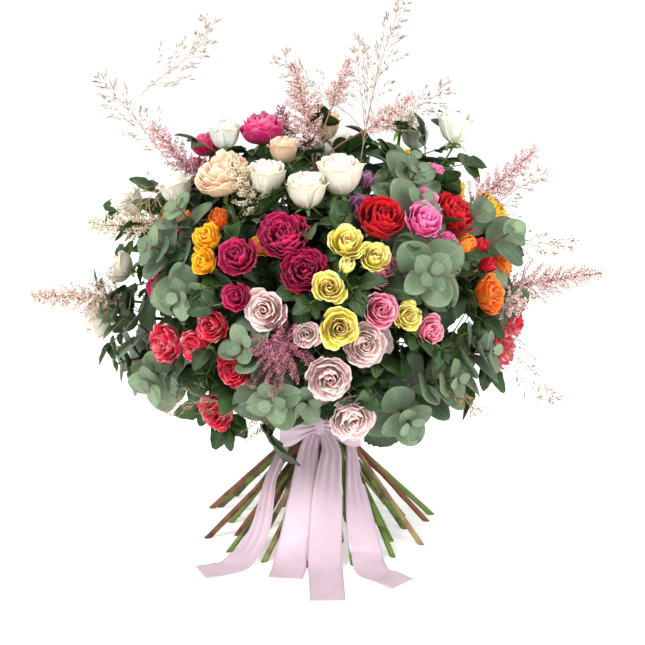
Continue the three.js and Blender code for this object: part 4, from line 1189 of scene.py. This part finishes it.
# Stems, in millimetres. Swellings mark where leaves grew, and thorns stand on the bare part of the roses.
STEM_RINGS = 44
STEM_SIDES = 10
TWIG_RINGS = 10
TWIG_SIDES = 6
SWELLINGS = 4
SWELLING_STEP = 34
SWELLING_SHARE = 0.16
SWELLING_REACH = 3.0
GRASS_SLIMNESS = 0.55
THORNS = 5
THORN_STEP = 24
THORN_OUT = 3.3
THORN_LENGTH = 3.4
THORN_WIDTH = 1.5


def foot_height(index):
    """Every fourth stem is cut a little shorter, and ends above the floor."""
    return 6 + 20 * draw(index) if index % 4 == 3 else 0


def add_stem(mesher, spray, index, material):
    """The main stem from its cut foot to its end, and its twigs."""
    foot = foot_height(index)
    straight = [foot, foot + 4] + [h for h in range(20, TIE_HEIGHT + STRAIGHT_ABOVE, 5) if h > foot + 6]
    path = Path([stem_point(spray.slot, height) for height in straight] + spray.main.points(16))
    below = (TIE_HEIGHT + STRAIGHT_ABOVE - foot) / path.total
    first = 18 + 24 * draw(index + 0.5)
    swellings = []
    if spray.kind in ("rose", "eucalyptus"):
        swellings = [first + SWELLING_STEP * k + 8 * draw(index + k) for k in range(SWELLINGS)]

    def radius_at(share):
        if share < below:
            radius = mix(FOOT_RADIUS, STEM_RADIUS, share / below)
        else:
            radius = mix(*spray.main.radii, (share - below) / (1 - below))
        if spray.kind == "grass":
            radius *= mix(1.0, GRASS_SLIMNESS, smooth(below, 0.7, share))
        away = share * path.total
        return radius * (1 + sum(SWELLING_SHARE * math.exp(-((away - spot) / SWELLING_REACH) ** 2)
                                 for spot in swellings))

    even = [path.at(path.total * i / STEM_RINGS) for i in range(STEM_RINGS + 1)]
    mesher.tube(even, radius_at, STEM_SIDES, material, draw(index), level_foot=True,
                cap=stalk_material("stem_cut"))
    if spray.kind == "rose":
        add_thorns(mesher, path, foot, index)
    for twig in spray.twigs:
        slim = GRASS_SLIMNESS if spray.kind == "grass" else 1.0
        mesher.tube(twig.points(TWIG_RINGS), lambda t: slim * mix(*twig.radii, t), TWIG_SIDES, material,
                    draw(index))


def add_thorns(mesher, path, foot, index):
    """Thorns along the lower stem, but none under the band."""
    for k in range(THORNS):
        at = 12 + THORN_STEP * k + 14 * draw(index * 3 + k)
        if TIE_HEIGHT - BAND_HALF_HEIGHT - 8 < at + foot < TIE_HEIGHT + BAND_HALF_HEIGHT + 4:
            continue
        way = path.way(at, 0)
        out = square_to(way, 360 * draw(index + 2.3 * k))
        mesher.bead(path.at(at) + out * THORN_OUT, unit(out - 0.3 * way), THORN_LENGTH, THORN_WIDTH,
                    stalk_material("thorn"), 0.5, 5, 3)


# Ribbon, in millimetres.
def bundle_radius(height):
    turn = SPREAD * (height - TIE_HEIGHT)
    swell = min(1.0, max(0.0, (TIE_HEIGHT - height) / TIE_HEIGHT))
    return 4 * RING_PITCH * math.hypot(1, turn) + STEM_RADIUS + (FOOT_RADIUS - STEM_RADIUS) * swell


def band_radius(height):
    return max(bundle_radius(height) + 0.6, TWINE_OUTER + 0.4)


RIBBON_WIDTH = 38
HEM_FROM = 17.2
HEM_TO = 17.8
TAIL_LIFT_AT_BAND = 2.6
FLOOR_LIFT = 0.6
KNOT_X = 2
KNOT_HEIGHT = 134
KNOT_DEPTH = 9
KNOT_Y = -(band_radius(KNOT_HEIGHT) + 0.8 + KNOT_DEPTH * 0.8)
KNOT_SHARE = 0.6
KNOT_LENGTH = 66
LOOP_LENGTH = 100
BAND_OVERLAP = 1.04

# Each tail: rows of azimuth, height and share of the full width over the stems, rows of x and y on the floor,
# how far it stands off the stems, and whether it starts at the knot.
TAILS = {
    "ribbon_tail_front_left": (
        ((-14, 106, 0.6), (-12, 82, 0.8), (-11, 57, 0.95), (-12, 30, 1), (-13, 10, 1)),
        ((-33, -152), (-36, -174)), 5, True),
    "ribbon_tail_front_right": (
        ((18, 106, 0.6), (10, 82, 0.8), (6, 57, 0.95), (4, 30, 1), (3, 10, 1)),
        ((8, -158), (9, -195), (10, -236)), 8, True),
    "ribbon_tail_outer_left": (
        ((-66, 128, 0.35), (-52, 100, 0.4), (-46, 70, 0.5), (-35, 32, 0.7), (-34, 12, 0.8)),
        ((-92, -137), (-110, -149), (-130, -157)), 4, False),
    "ribbon_tail_outer_right": (
        ((66, 128, 0.35), (54, 100, 0.45), (31, 57, 0.8), (24, 22, 1), (23, 8, 1)),
        ((60, -156), (74, -174), (92, -190)), 4, False),
}


def weave_group():
    """Fine satin threads and soft unevenness. Span holds across and along in millimetres."""
    tree, given, end = new_group("Satin weave", [("Span", "Vector"), ("Main", "Color"), ("Shade", "Color")])
    across, along, _ = split(given["Span"])
    warp = maths("SINE", across * 16.0)
    weft = maths("SINE", along * 7.0)
    hem = ramp(abs(across - RIBBON_WIDTH / 2), HEM_FROM, HEM_TO)
    cloud = noise(object_place(tree), 30.0, 3.0)
    shade = blend(tree, ramp(cloud, 0.3, 0.7, 0.0, 0.5), given["Main"], given["Shade"])
    shade = blend(tree, hem * 0.5, shade, given["Shade"])
    hand_out(end, Color=shade, Height=weft * 0.6 + warp, Roughness=ramp(cloud, 0.2, 0.8, 0.34, 0.46))
    return tree


def ribbon_material():
    return shared_material("ribbon_satin", fill_ribbon, bpy.context.scene.bouquet_colours)


def fill_ribbon(tree, colours):
    main_colour = (*colours.ribbon, 1)
    made = group_node(tree, weave_group, {
        "Span": span_of(tree), "Main": main_colour, "Shade": (*colours.ribbon_shade, 1)})
    finish_surface(tree, made["Color"], made["Roughness"], made["Height"], 0.08, 0.0001,
                   Sheen_Weight=0.35, Sheen_Roughness=0.3, Specular_IOR_Level=0.5, Subsurface_Weight=0.1,
                   Subsurface_Radius=(0.003, 0.002, 0.002))
    return main_colour


def cloth(name, columns, rows, place, flat, node, thickness):
    """One sheet of ribbon, cut to flat = (width, length) in millimetres."""
    mesher = Mesher(name)
    verts = mesher.sheet(columns, rows, place, ribbon_material())
    for vert in verts:
        across, along, _ = vert[mesher.span]
        vert[mesher.span] = (across * flat[0], along * flat[1], 0)
    bmesh.ops.solidify(mesher.bm, geom=list(mesher.bm.faces), thickness=thickness)
    bmesh.ops.recalc_face_normals(mesher.bm, faces=mesher.bm.faces)
    piece = mesher.finish("ribbon", node)
    flat[0] * MM
    flat[1] * MM
    return piece


def smooth_row(rows, at):
    """A value on a smooth line through the rows, for at from 0 to 1."""
    rows = np.array(rows, dtype=float)
    spot = at * (len(rows) - 1)
    i = min(int(spot), len(rows) - 2)
    t = spot - i
    before, after = rows[max(i - 1, 0)], rows[min(i + 2, len(rows) - 1)]
    a, b = rows[i], rows[i + 1]
    return 0.5 * (2 * a + (b - before) * t + (2 * before - 5 * a + 4 * b - after) * t * t
                  + (3 * a - 3 * b + after - before) * t ** 3)


def tail_rows(on_stems, on_floor, lift, from_knot):
    """The middle line of a tail, with the way its face looks and the share of its width."""
    rows = []
    for azimuth, height, share in on_stems:
        upper = height > TIE_HEIGHT - BAND_HALF_HEIGHT
        radius = band_radius(height) + TAIL_LIFT_AT_BAND if upper else bundle_radius(height) + lift + 0.4
        a = math.radians(azimuth)
        rows.append((radius * math.sin(a), -radius * math.cos(a), height, *facing(azimuth, 30), share))
    if from_knot:
        rows.insert(0, (KNOT_X + (3 if lift > 6 else -3), KNOT_Y + (0 if lift > 6 else 3), KNOT_HEIGHT - 4,
                        *facing(0, 0), 0.35))
    for x, y in on_floor:
        rows.append((x, y, FLOOR_LIFT, 0, 0, 1, 1))
    return rows


def make_tail(name, node, rows, thickness, seed):
    line = [np.array(row[:3]) for row in rows]
    length = Path(line).total
    step = 0.01

    def place(across, along):
        row = smooth_row(rows, along)
        way = unit(smooth_row(rows, min(1, along + step))[:3] - smooth_row(rows, max(0, along - step))[:3])
        side = unit(np.cross(way, row[3:6]))
        up = np.cross(side, way)
        share = min(1.0, max(0.2, row[6]))
        u = across - 0.5
        fold = (1 - share) * 9 * math.sin(3.1 * math.pi * u + seed) ** 2
        curl = 2.2 * (4 * u * u) * math.sin(5.2 * along + seed)
        curl = curl * smooth(0, 0.25, along) * smooth(1.0, 0.8, along)
        wave = 1.4 * math.sin(13 * along + seed * 2) * smooth(1.0, 0.86, along)
        spot = row[:3] + side * u * RIBBON_WIDTH * share + up * (fold + curl + wave + 0.4)
        spot[2] = max(spot[2], 0.5)
        return spot

    cloth(name, 14, 70, place, (RIBBON_WIDTH, length), node, thickness)


def make_band(thickness):
    girth = 2 * math.pi * band_radius(TIE_HEIGHT)

    def place(across, along):
        turn = 2 * math.pi * along + 0.4
        height = TIE_HEIGHT + BAND_HALF_HEIGHT * (2 * across - 1)
        pleat = math.sin(across * 21 + 1.6 * math.sin(turn + 1))
        pleat += 0.5 * math.sin(across * 37 + 2 * math.sin(2 * turn))
        radius = band_radius(height) + 0.7 + 0.35 * pleat + 0.9 * along
        return radius * math.sin(turn), radius * math.cos(turn), height + 0.8 * math.sin(3 * turn)

    flat = (2 * BAND_HALF_HEIGHT, girth * BAND_OVERLAP)
    cloth("bow_band", 30, 72, place, flat, "ribbon_bow", thickness)


def make_knot(thickness):
    def place(across, along):
        turn = math.radians(-165 + 330 * along)
        u = 2 * across - 1
        pinch = 1 - 0.22 * math.cos(turn)
        pleat = 1 + 0.07 * math.sin(across * 19 + 0.8 * math.sin(turn))
        bulge = 1 - 0.25 * u * u
        return (KNOT_X + u * 9.5 * pinch, KNOT_Y + 1 - KNOT_DEPTH * 0.95 * pleat * bulge * math.cos(turn),
                KNOT_HEIGHT + 14 * pleat * bulge * math.sin(turn))

    flat = (RIBBON_WIDTH * KNOT_SHARE, KNOT_LENGTH)
    cloth("bow_knot", 20, 40, place, flat, "ribbon_bow", thickness)


def make_loop(name, hand, thickness):
    start_y = KNOT_Y - 3

    def place(across, along):
        turn = math.pi * (1 - 2 * along)
        out = 24 + 22 * math.cos(turn)
        open_share = smooth(1, 34, out)
        u = 2 * across - 1
        pleat = math.sin(u * 8.5 + hand) * (1 - 0.75 * open_share)
        y = start_y - (3.5 + 7.5 * open_share) * math.sin(turn) - 0.12 * out + 1.6 * pleat
        half = mix(6.0, 18.0, open_share)
        z = KNOT_HEIGHT - 1 - 0.05 * out + u * half + 1.5 * math.sin(3 * u + 2 * turn) * open_share
        return KNOT_X + hand * (out + 1.5 * u * u * open_share), y, z

    cloth(name, 26, 48, place, (RIBBON_WIDTH, LOOP_LENGTH), "ribbon_bow", thickness)


# Plumes and grass heads, in millimetres. A plume wider than WIDE_PLUME is dense and droops.
TUFT_LENGTH = 5.5
TUFT_SHAPES = 5
TUFT_FLORETS = 6
WIDE_PLUME = 40
DENSE_PLUME = (0.9, 0.7)
AIRY_PLUME = (0.5, 0.1)
TUFT_STEP = 4.6
LINE_STEPS = 30
PANICLE_LENGTH = 120
PANICLE_REACH = 48
PANICLE_BRANCHES = 26
SPIKELETS = 4


def make_tufts(mesher, florets, seed):
    """A few small clusters of florets about the upright axis, which the branches of the plumes repeat."""
    tufts = []
    index = mesher.slot_of(florets)
    for shape in range(TUFT_SHAPES):
        tuft = Mesher(f"tuft_{shape}")
        for k in range(TUFT_FLORETS):
            key = seed + 13.7 * shape + 3.3 * k
            rise, turn = (k + 0.5) / TUFT_FLORETS, 2.4 * k + draw(key)
            out = (1.9 + 1.5 * draw(key + 0.4)) * (1.05 - 0.6 * rise)
            spot = vec(out * math.cos(turn), out * math.sin(turn), TUFT_LENGTH * rise)
            size = 1.9 + 1.0 * draw(key + 0.8)
            tuft.bead(spot, unit(spot + 2 * UP), size * 1.2, size, florets, draw(key + 1.2))
        for face in tuft.bm.faces:
            face.material_index = index
        tuft.bm.to_mesh(tuft.carrier)
        tuft.bm.free()
        tuft.whole.free()
        tufts.append(tuft.carrier)
    return tufts


def add_plume(mesher, line, tufts, stalk, seed):
    """Side branches all round the end of a line, each set with tufts of florets."""
    path = Path(line.points(LINE_STEPS))
    long, wide = line.end.length, line.end.width
    density, droop = DENSE_PLUME if wide > WIDE_PLUME else AIRY_PLUME
    count = int(long * density)
    for k in range(count):
        share = (k + 0.5) / count
        at = path.total - long * (1 - share)
        spot = path.at(max(0, at))
        way = path.way(at) if at < path.total - 1 else line.end.axis
        out = square_to(way, GOLDEN_DEGREES * k + 30 * draw(seed + k))
        reach = wide * 1.1 * (1 - share) ** 0.75 * (0.6 + 0.55 * draw(seed + 2 * k)) + 3
        elbow = spot + reach * 0.5 * unit(0.5 * way + out)
        tip = elbow + reach * 0.5 * unit(way + out - droop * UP)
        mesher.tube([spot, elbow, tip], lambda t: 0.42 - 0.25 * t, 3, stalk)
        rows = max(1, round(reach / TUFT_STEP))
        for i in range(rows):
            t = (i + 0.35) / rows
            centre = mix(spot, elbow, 2 * t) if t < 0.5 else mix(elbow, tip, 2 * t - 1)
            key = seed + 7.7 * k + 1.3 * i
            size = (0.85 + 0.35 * draw(key)) * (1.15 - 0.4 * t)
            tuft = tufts[int(TUFT_SHAPES * draw(key + 0.5))]
            mesher.copy_of(tuft, centre, unit(tip - spot), 360 * draw(key + 0.9), size)


def add_panicle(mesher, line, straw, seed_coat, seed):
    """The open head of a grass: fine side branches, each with a few grains on short stalks."""
    path = Path(line.points(LINE_STEPS))
    for k in range(PANICLE_BRANCHES):
        share = (k + 0.5) / PANICLE_BRANCHES
        at = path.total - PANICLE_LENGTH * (1 - share)
        spot, way = path.at(max(0, at)), path.way(at)
        out = square_to(way, GOLDEN_DEGREES * k)
        reach = (PANICLE_REACH * (1 - share) ** 0.8 + 6) * (0.5 + 0.6 * draw(seed + k))
        elbow = spot + reach * 0.5 * unit(way + 0.55 * out)
        tip = elbow + reach * 0.5 * unit(way + 0.75 * out - 0.25 * UP)
        mesher.tube([spot, elbow, tip], lambda t: 0.22 - 0.1 * t, 3, straw)
        for i in range(SPIKELETS):
            root = mix(elbow, tip, i / SPIKELETS)
            side = unit(unit(tip - elbow) + 0.5 * square_to(way, 90 * i + 140 * draw(seed + k + i)))
            end = root + side * (2 + 4 * draw(seed + 3 * k + i))
            mesher.tube([root, end], lambda t: 0.13, 3, straw)
            mesher.bead(end + side * 2.4, side, 6.2, 1.25, seed_coat, draw(seed + k * i))
        mesher.bead(tip, unit(tip - elbow), 6.5, 1.3, seed_coat, draw(seed + k))


# Settings that a user would change.
class BouquetSizes(bpy.types.PropertyGroup):
    ribbon_thickness: bpy.props.FloatProperty(
        name="Ribbon thickness", description="Thickness of the satin ribbon", default=0.0004, min=0.0001,
        unit="LENGTH", subtype="DISTANCE")
    floor_size: bpy.props.FloatProperty(
        name="Floor size", description="Width of the plain floor", default=14.0, min=1.0, unit="LENGTH",
        subtype="DISTANCE")
    room_light: bpy.props.FloatProperty(
        name="Room light", description="How strongly the white room lights the bouquet", default=0.62,
        min=0.0)
    camera_distance: bpy.props.FloatProperty(
        name="Camera distance", description="How far in front of the bouquet the camera stands", default=2.0,
        min=0.5, unit="LENGTH", subtype="DISTANCE")
    camera_height: bpy.props.FloatProperty(
        name="Camera height", description="Height of the camera above the floor", default=0.76, min=0.0,
        unit="LENGTH", subtype="DISTANCE")


class BouquetColours(bpy.types.PropertyGroup):
    ribbon: bpy.props.FloatVectorProperty(
        name="Ribbon", description="Colour of the satin ribbon", default=colour("#e0c8d4")[:3], size=3,
        subtype="COLOR", min=0.0, max=1.0)
    ribbon_shade: bpy.props.FloatVectorProperty(
        name="Ribbon shade", description="Colour of the ribbon's duller places",
        default=colour("#cfb4c3")[:3], size=3, subtype="COLOR", min=0.0, max=1.0)
    floor: bpy.props.FloatVectorProperty(
        name="Floor", description="Colour of the floor", default=(0.96, 0.96, 0.96), size=3, subtype="COLOR",
        min=0.0, max=1.0)


SPRAYS = {}
SLOTS = {part["node"]: part["material_slot"] for part in frame["record"]["subparts"]}


def sprays_of(kind):
    """Each spray of one kind, with its place in the whole list and the mesher that gathers its piece."""
    if not SPRAYS:
        SPRAYS.update({spray.name: (index, spray) for index, spray in enumerate(lay_out())})
    for index, spray in SPRAYS.values():
        if spray.kind == kind:
            mesher = Mesher(f"{spray.name}_spray")
            yield index, spray, mesher
            mesher.finish(SLOTS[spray.name], spray.name)


# How bright the white wall looks to the camera, how strongly the floor glows, and its duller places.
WHITE_WALL = 1.05
FLOOR_GLOW = 0.43
FLOOR_SHADE = 0.97

# The camera: lens and sensor's width in millimetres, how far it sees and the point it looks at in metres.
LENS = 99.8
SENSOR_WIDTH = 36
VIEW_END = 50
CAMERA_AIM = (0.005, 0, 0.245)

# Lamps: name, place in metres, width and power. All look at the same point.
LAMP_AIM = (0, 0, 0.3)
LAMPS = (
    ("key_light", (-1.3, -1.6, 1.9), 0.9, 46),
    ("fill_light", (1.6, -1.8, 1.1), 1.4, 30),
    ("top_light", (0.1, 0.4, 2.2), 1.2, 20),
)


def put_in_scene(name, data, place=(0, 0, 0), aim=None):
    """Adds an object to the scene, and turns it to look at a point if there is one."""
    item = bpy.data.objects.new(name, data)
    item.location = place
    if aim:
        item.rotation_mode = "QUATERNION"
        item.rotation_quaternion = (Vector(aim) - Vector(place)).to_track_quat("-Z", "Y")
    bpy.context.scene.collection.objects.link(item)
    return item


class BOUQUET_OT_stage(bpy.types.Operator):
    """Makes the floor, the soft lights and the camera"""
    bl_idname = "bouquet.stage"
    bl_label = "Stage"

    def execute(self, context):
        sizes = context.scene.bouquet_sizes
        self.make_floor(sizes.floor_size, tuple(context.scene.bouquet_colours.floor))
        self.make_room(context.scene, sizes.room_light)
        for name, place, size, power in LAMPS:
            lamp = bpy.data.lights.new(name, "AREA")
            lamp.shape, lamp.size, lamp.energy = "DISK", size, power
            put_in_scene(name, lamp, place, LAMP_AIM)
        camera = bpy.data.cameras.new("camera")
        camera.lens, camera.sensor_width, camera.clip_end = LENS, SENSOR_WIDTH, VIEW_END
        place = (0, -sizes.camera_distance, sizes.camera_height)
        context.scene.camera = put_in_scene("camera", camera, place, CAMERA_AIM)
        return {"FINISHED"}

    def make_floor(self, size, shown):
        bm = bmesh.new()
        bmesh.ops.create_grid(bm, x_segments=1, y_segments=1, size=size / 2)
        mesh = bpy.data.meshes.new("floor")
        bm.to_mesh(mesh)
        bm.free()
        material, tree = new_material("floor_paper")
        cloud = noise(object_place(tree), 2.0, 2.0)
        pale = (*shown, 1)
        shade = blend(tree, ramp(cloud, 0.3, 0.7, 0.0, 0.3), pale, (*(FLOOR_SHADE * c for c in shown), 1))
        finish_surface(tree, shade, 0.8, Emission_Color=pale, Emission_Strength=FLOOR_GLOW)
        mesh.materials.append(material)
        put_in_scene("floor", mesh)

    def make_room(self, scene, strength):
        """A white room that lights the bouquet softly, and looks plain white to the camera."""
        scene.view_settings.view_transform = "Standard"
        scene.world = bpy.data.worlds.new("soft_room")
        scene.world.use_nodes = True
        room = scene.world.node_tree
        room.nodes.clear()
        seen = outcome(room, "ShaderNodeLightPath", "Is Camera Ray")
        soft, white = (outcome(room, "ShaderNodeBackground", 0, {"Color": (1, 1, 1, 1), "Strength": bright})
                       for bright in (strength, WHITE_WALL))
        walls = outcome(room, "ShaderNodeMixShader", 0, {0: seen, 1: soft, 2: white})
        put(room, "ShaderNodeOutputWorld", {0: walls})


# The bark of the rose stems, in turn, and the leaves along them, with distances in millimetres.
ROSE_BARK = ("stem_green", "stem_olive", "stem_green", "stem_green", "stem_russet")
MAIN_LEAVES = 12
TWIG_LEAVES = 5
LEAF_STEP = 14
LOW_LEAF = 9
LEAFLESS_ABOVE_TIE = 60
FOLIAGE_STEPS = 20


class BOUQUET_OT_roses(bpy.types.Operator):
    """Makes every rose spray: stem, leaves, sepals and petals"""
    bl_idname = "bouquet.roses"
    bl_label = "Roses"

    def execute(self, context):
        for index, spray, mesher in sprays_of("rose"):
            add_stem(mesher, spray, index, stalk_material(ROSE_BARK[index % len(ROSE_BARK)]))
            for k, bloom in enumerate(spray.blooms):
                add_bloom(mesher, bloom, petal_material(spray.colour), leaf_material("sepal"),
                          11.3 * index + 3.7 * k, CALM.get(spray.colour, 1))
            self.add_foliage(mesher, spray, index)
            for name, azimuth, elevation, length in ROSE_LEAVES:
                if name == spray.name:
                    self.add_large_leaf(mesher, spray, azimuth, elevation, length, index)
        return {"FINISHED"}

    def add_large_leaf(self, mesher, spray, azimuth, elevation, length, index):
        """A leaf of three leaflets that reaches out to the rim of the dome."""
        outward = facing(azimuth, elevation)
        start = spray.coarse[MAIN_STEPS - 1]
        target = dome_point(azimuth, elevation, 1.0)
        way = unit(target - start)
        normal = unit(outward - way * (outward @ way))
        middle = start + way * max(length * 0.7, distance(start, target))
        green = leaf_material("rose_leaf")
        stalk_line = [start, mix(start, middle, 0.5), middle - way * length * 0.4]
        mesher.tube(stalk_line, lambda t: 1.1 - 0.4 * t, 6, stalk_material("stem_green"))
        side, _ = leaf_frame(way, normal)
        pointed_leaf(mesher, middle - way * length * 0.34, way, normal, length * 0.95, length * 0.62, green,
                     index)
        for hand in (-1, 1):
            pointed_leaf(mesher, middle - way * length * 0.36, unit(0.5 * way + hand * side), normal,
                         length * 0.62, length * 0.4, green, index + hand)

    def add_foliage(self, mesher, spray, index):
        """Leaves along the upper part of the stem, which fill the dome between the blooms."""
        for branch, line in enumerate([spray.main, *spray.twigs]):
            points = line.points(FOLIAGE_STEPS)
            for k in range(MAIN_LEAVES if branch == 0 else TWIG_LEAVES):
                spot, way = back_from_end(points, LEAF_STEP * (k + 1))
                if k >= LOW_LEAF and spot[2] < TIE_HEIGHT + LEAFLESS_ABOVE_TIE:
                    break
                out = square_to(way, GOLDEN_DEGREES * k + 77 * index + 50 * branch)
                along = unit(0.7 * way + out)
                normal = unit(way - along * (way @ along))
                length = 52 + 6 * min(k, 4) + 14 * draw(index + k)
                compound_leaf(mesher, spot, along, normal, length, 5.1 * index + k, 5 if k % 3 == 1 else 3)


# Round leaves: how many pairs, how the leaves grow from the twig's tip, and the sizes tried beside a bloom.
MAIN_PAIRS = 8
TWIG_PAIRS = 6
SMALLEST_LEAF = 15
LEAF_GROWTH = 8
LARGEST_LEAF = 46
LEAF_SHARES = (1, 0.8, 0.6)


class BOUQUET_OT_eucalyptus(bpy.types.Operator):
    """Makes every eucalyptus spray: twigs and round leaves"""
    bl_idname = "bouquet.eucalyptus"
    bl_label = "Eucalyptus"

    def execute(self, context):
        for order, (index, spray, mesher) in enumerate(sprays_of("eucalyptus")):
            add_stem(mesher, spray, index, stalk_material("stem_russet"))
            for twig, line in enumerate([spray.main, *spray.twigs]):
                self.add_leaves(mesher, line, 10 * order + twig, MAIN_PAIRS if twig == 0 else TWIG_PAIRS)
        return {"FINISHED"}

    def add_leaves(self, mesher, line, seed, pairs):
        points = line.points(FOLIAGE_STEPS)
        away = 3
        for pair in range(pairs):
            spot, way = back_from_end(points, away)
            size = min(LARGEST_LEAF, SMALLEST_LEAF + LEAF_GROWTH * pair)
            for half in (0, 180):
                side = square_to(way, 90 * pair + half + 40 * draw(seed))
                along = unit(side + 0.45 * way)
                normal = unit(way - 0.45 * side)
                full = size * (0.9 + 0.2 * draw(seed + pair + half))
                for share in LEAF_SHARES:
                    grown = full * share
                    reached = [spot + along * grown * part + normal * lift
                               for part in (0.5, 1) for lift in (0, 4)]
                    if pair == 0 or clear_of_blooms(*reached):
                        round_leaf(mesher, spot + 1.2 * along, along, normal, grown,
                                   leaf_material("eucalyptus_leaf"), seed * 3.3 + pair * 1.9 + half)
                        break
            away += 7 + 2.2 * pair


class BOUQUET_OT_astilbe(bpy.types.Operator):
    """Makes every astilbe: stalks and feathery plumes"""
    bl_idname = "bouquet.astilbe"
    bl_label = "Astilbe"

    def execute(self, context):
        for index, spray, mesher in sprays_of("astilbe"):
            stalk = stalk_material("astilbe_stalk")
            add_stem(mesher, spray, index, stalk)
            florets = plume_material(f"{spray.name}_florets", *spray.colour)
            tufts = make_tufts(mesher, florets, index)
            for k, line in enumerate([spray.main, *spray.twigs]):
                add_plume(mesher, line, tufts, stalk, 9.1 * index + 2.3 * k)
            for mesh in tufts:
                bpy.data.meshes.remove(mesh)
        return {"FINISHED"}


class BOUQUET_OT_grasses(bpy.types.Operator):
    """Makes every grass: culms with open, airy heads"""
    bl_idname = "bouquet.grasses"
    bl_label = "Grasses"

    def execute(self, context):
        for index, spray, mesher in sprays_of("grass"):
            straw = stalk_material("grass_straw")
            add_stem(mesher, spray, index, straw)
            for k, line in enumerate([spray.main, *spray.twigs]):
                add_panicle(mesher, line, straw, stalk_material("grass_seed"), 6.1 * index + 1.9 * k)
        return {"FINISHED"}


class BOUQUET_OT_ribbon(bpy.types.Operator):
    """Makes the satin band, knot, loops and four tails"""
    bl_idname = "bouquet.ribbon"
    bl_label = "Ribbon"

    def execute(self, context):
        thickness = context.scene.bouquet_sizes.ribbon_thickness / MM
        make_band(thickness)
        make_knot(thickness)
        make_loop("bow_loop_left", -1, thickness)
        make_loop("bow_loop_right", 1, thickness)
        nodes = ("ribbon_bow", "ribbon_bow", "ribbon_tail_left", "ribbon_tail_right")
        for k, (name, tail) in enumerate(TAILS.items()):
            make_tail(name, nodes[k], tail_rows(*tail), thickness, 1.3 + 0.9 * k)
        return {"FINISHED"}


class BOUQUET_OT_twine(bpy.types.Operator):
    """Gives the binding twine its twisted fibres"""
    bl_idname = "bouquet.twine"
    bl_label = "Twine"

    def execute(self, context):
        twine = frame["nodes"]["binding_twine"]
        material, tree = new_material("jute_twine")
        place = object_place(tree)
        x, y, z = split(place)
        strands = maths("SINE", maths("ARCTAN2", y, x) * 90.0 + z * 2400.0)
        fuzz = noise(place, 700.0, 4.0)
        shade = blend(tree, ramp(strands, -1.0, 1.0), colour("#8d744c"), colour("#c9b085"))
        shade = blend(tree, ramp(fuzz, 0.4, 0.8, 0.0, 0.6), shade, colour("#dcc9a2"))
        finish_surface(tree, shade, 0.85, strands, 0.6, 0.0006)
        twine.data.materials.clear()
        twine.data.materials.append(material)
        return {"FINISHED"}


class BOUQUET_PT_panel(bpy.types.Panel):
    bl_idname = "BOUQUET_PT_panel"
    bl_label = "Bouquet"
    bl_space_type = "VIEW_3D"
    bl_region_type = "UI"
    bl_category = "Bouquet"

    def draw(self, context):
        layout = self.layout
        for settings in (context.scene.bouquet_sizes, context.scene.bouquet_colours):
            for key in settings.__annotations__:
                layout.prop(settings, key)
        for operator in OPERATORS:
            layout.operator(operator.bl_idname)


OPERATORS = (
    BOUQUET_OT_stage, BOUQUET_OT_roses, BOUQUET_OT_eucalyptus, BOUQUET_OT_astilbe, BOUQUET_OT_grasses,
    BOUQUET_OT_ribbon, BOUQUET_OT_twine,
)
CLASSES = (BouquetSizes, BouquetColours, *OPERATORS, BOUQUET_PT_panel)


def register():
    for item in CLASSES:
        bpy.utils.register_class(item)
    bpy.types.Scene.bouquet_sizes = bpy.props.PointerProperty(type=BouquetSizes)
    bpy.types.Scene.bouquet_colours = bpy.props.PointerProperty(type=BouquetColours)


def unregister():
    del bpy.types.Scene.bouquet_sizes
    del bpy.types.Scene.bouquet_colours
    for item in reversed(CLASSES):
        bpy.utils.unregister_class(item)


def main():
    register()
    bpy.ops.bouquet.stage()
    bpy.ops.bouquet.roses()
    bpy.ops.bouquet.eucalyptus()
    bpy.ops.bouquet.astilbe()
    bpy.ops.bouquet.grasses()
    bpy.ops.bouquet.ribbon()
    bpy.ops.bouquet.twine()


if __name__ == "__main__":
    main()
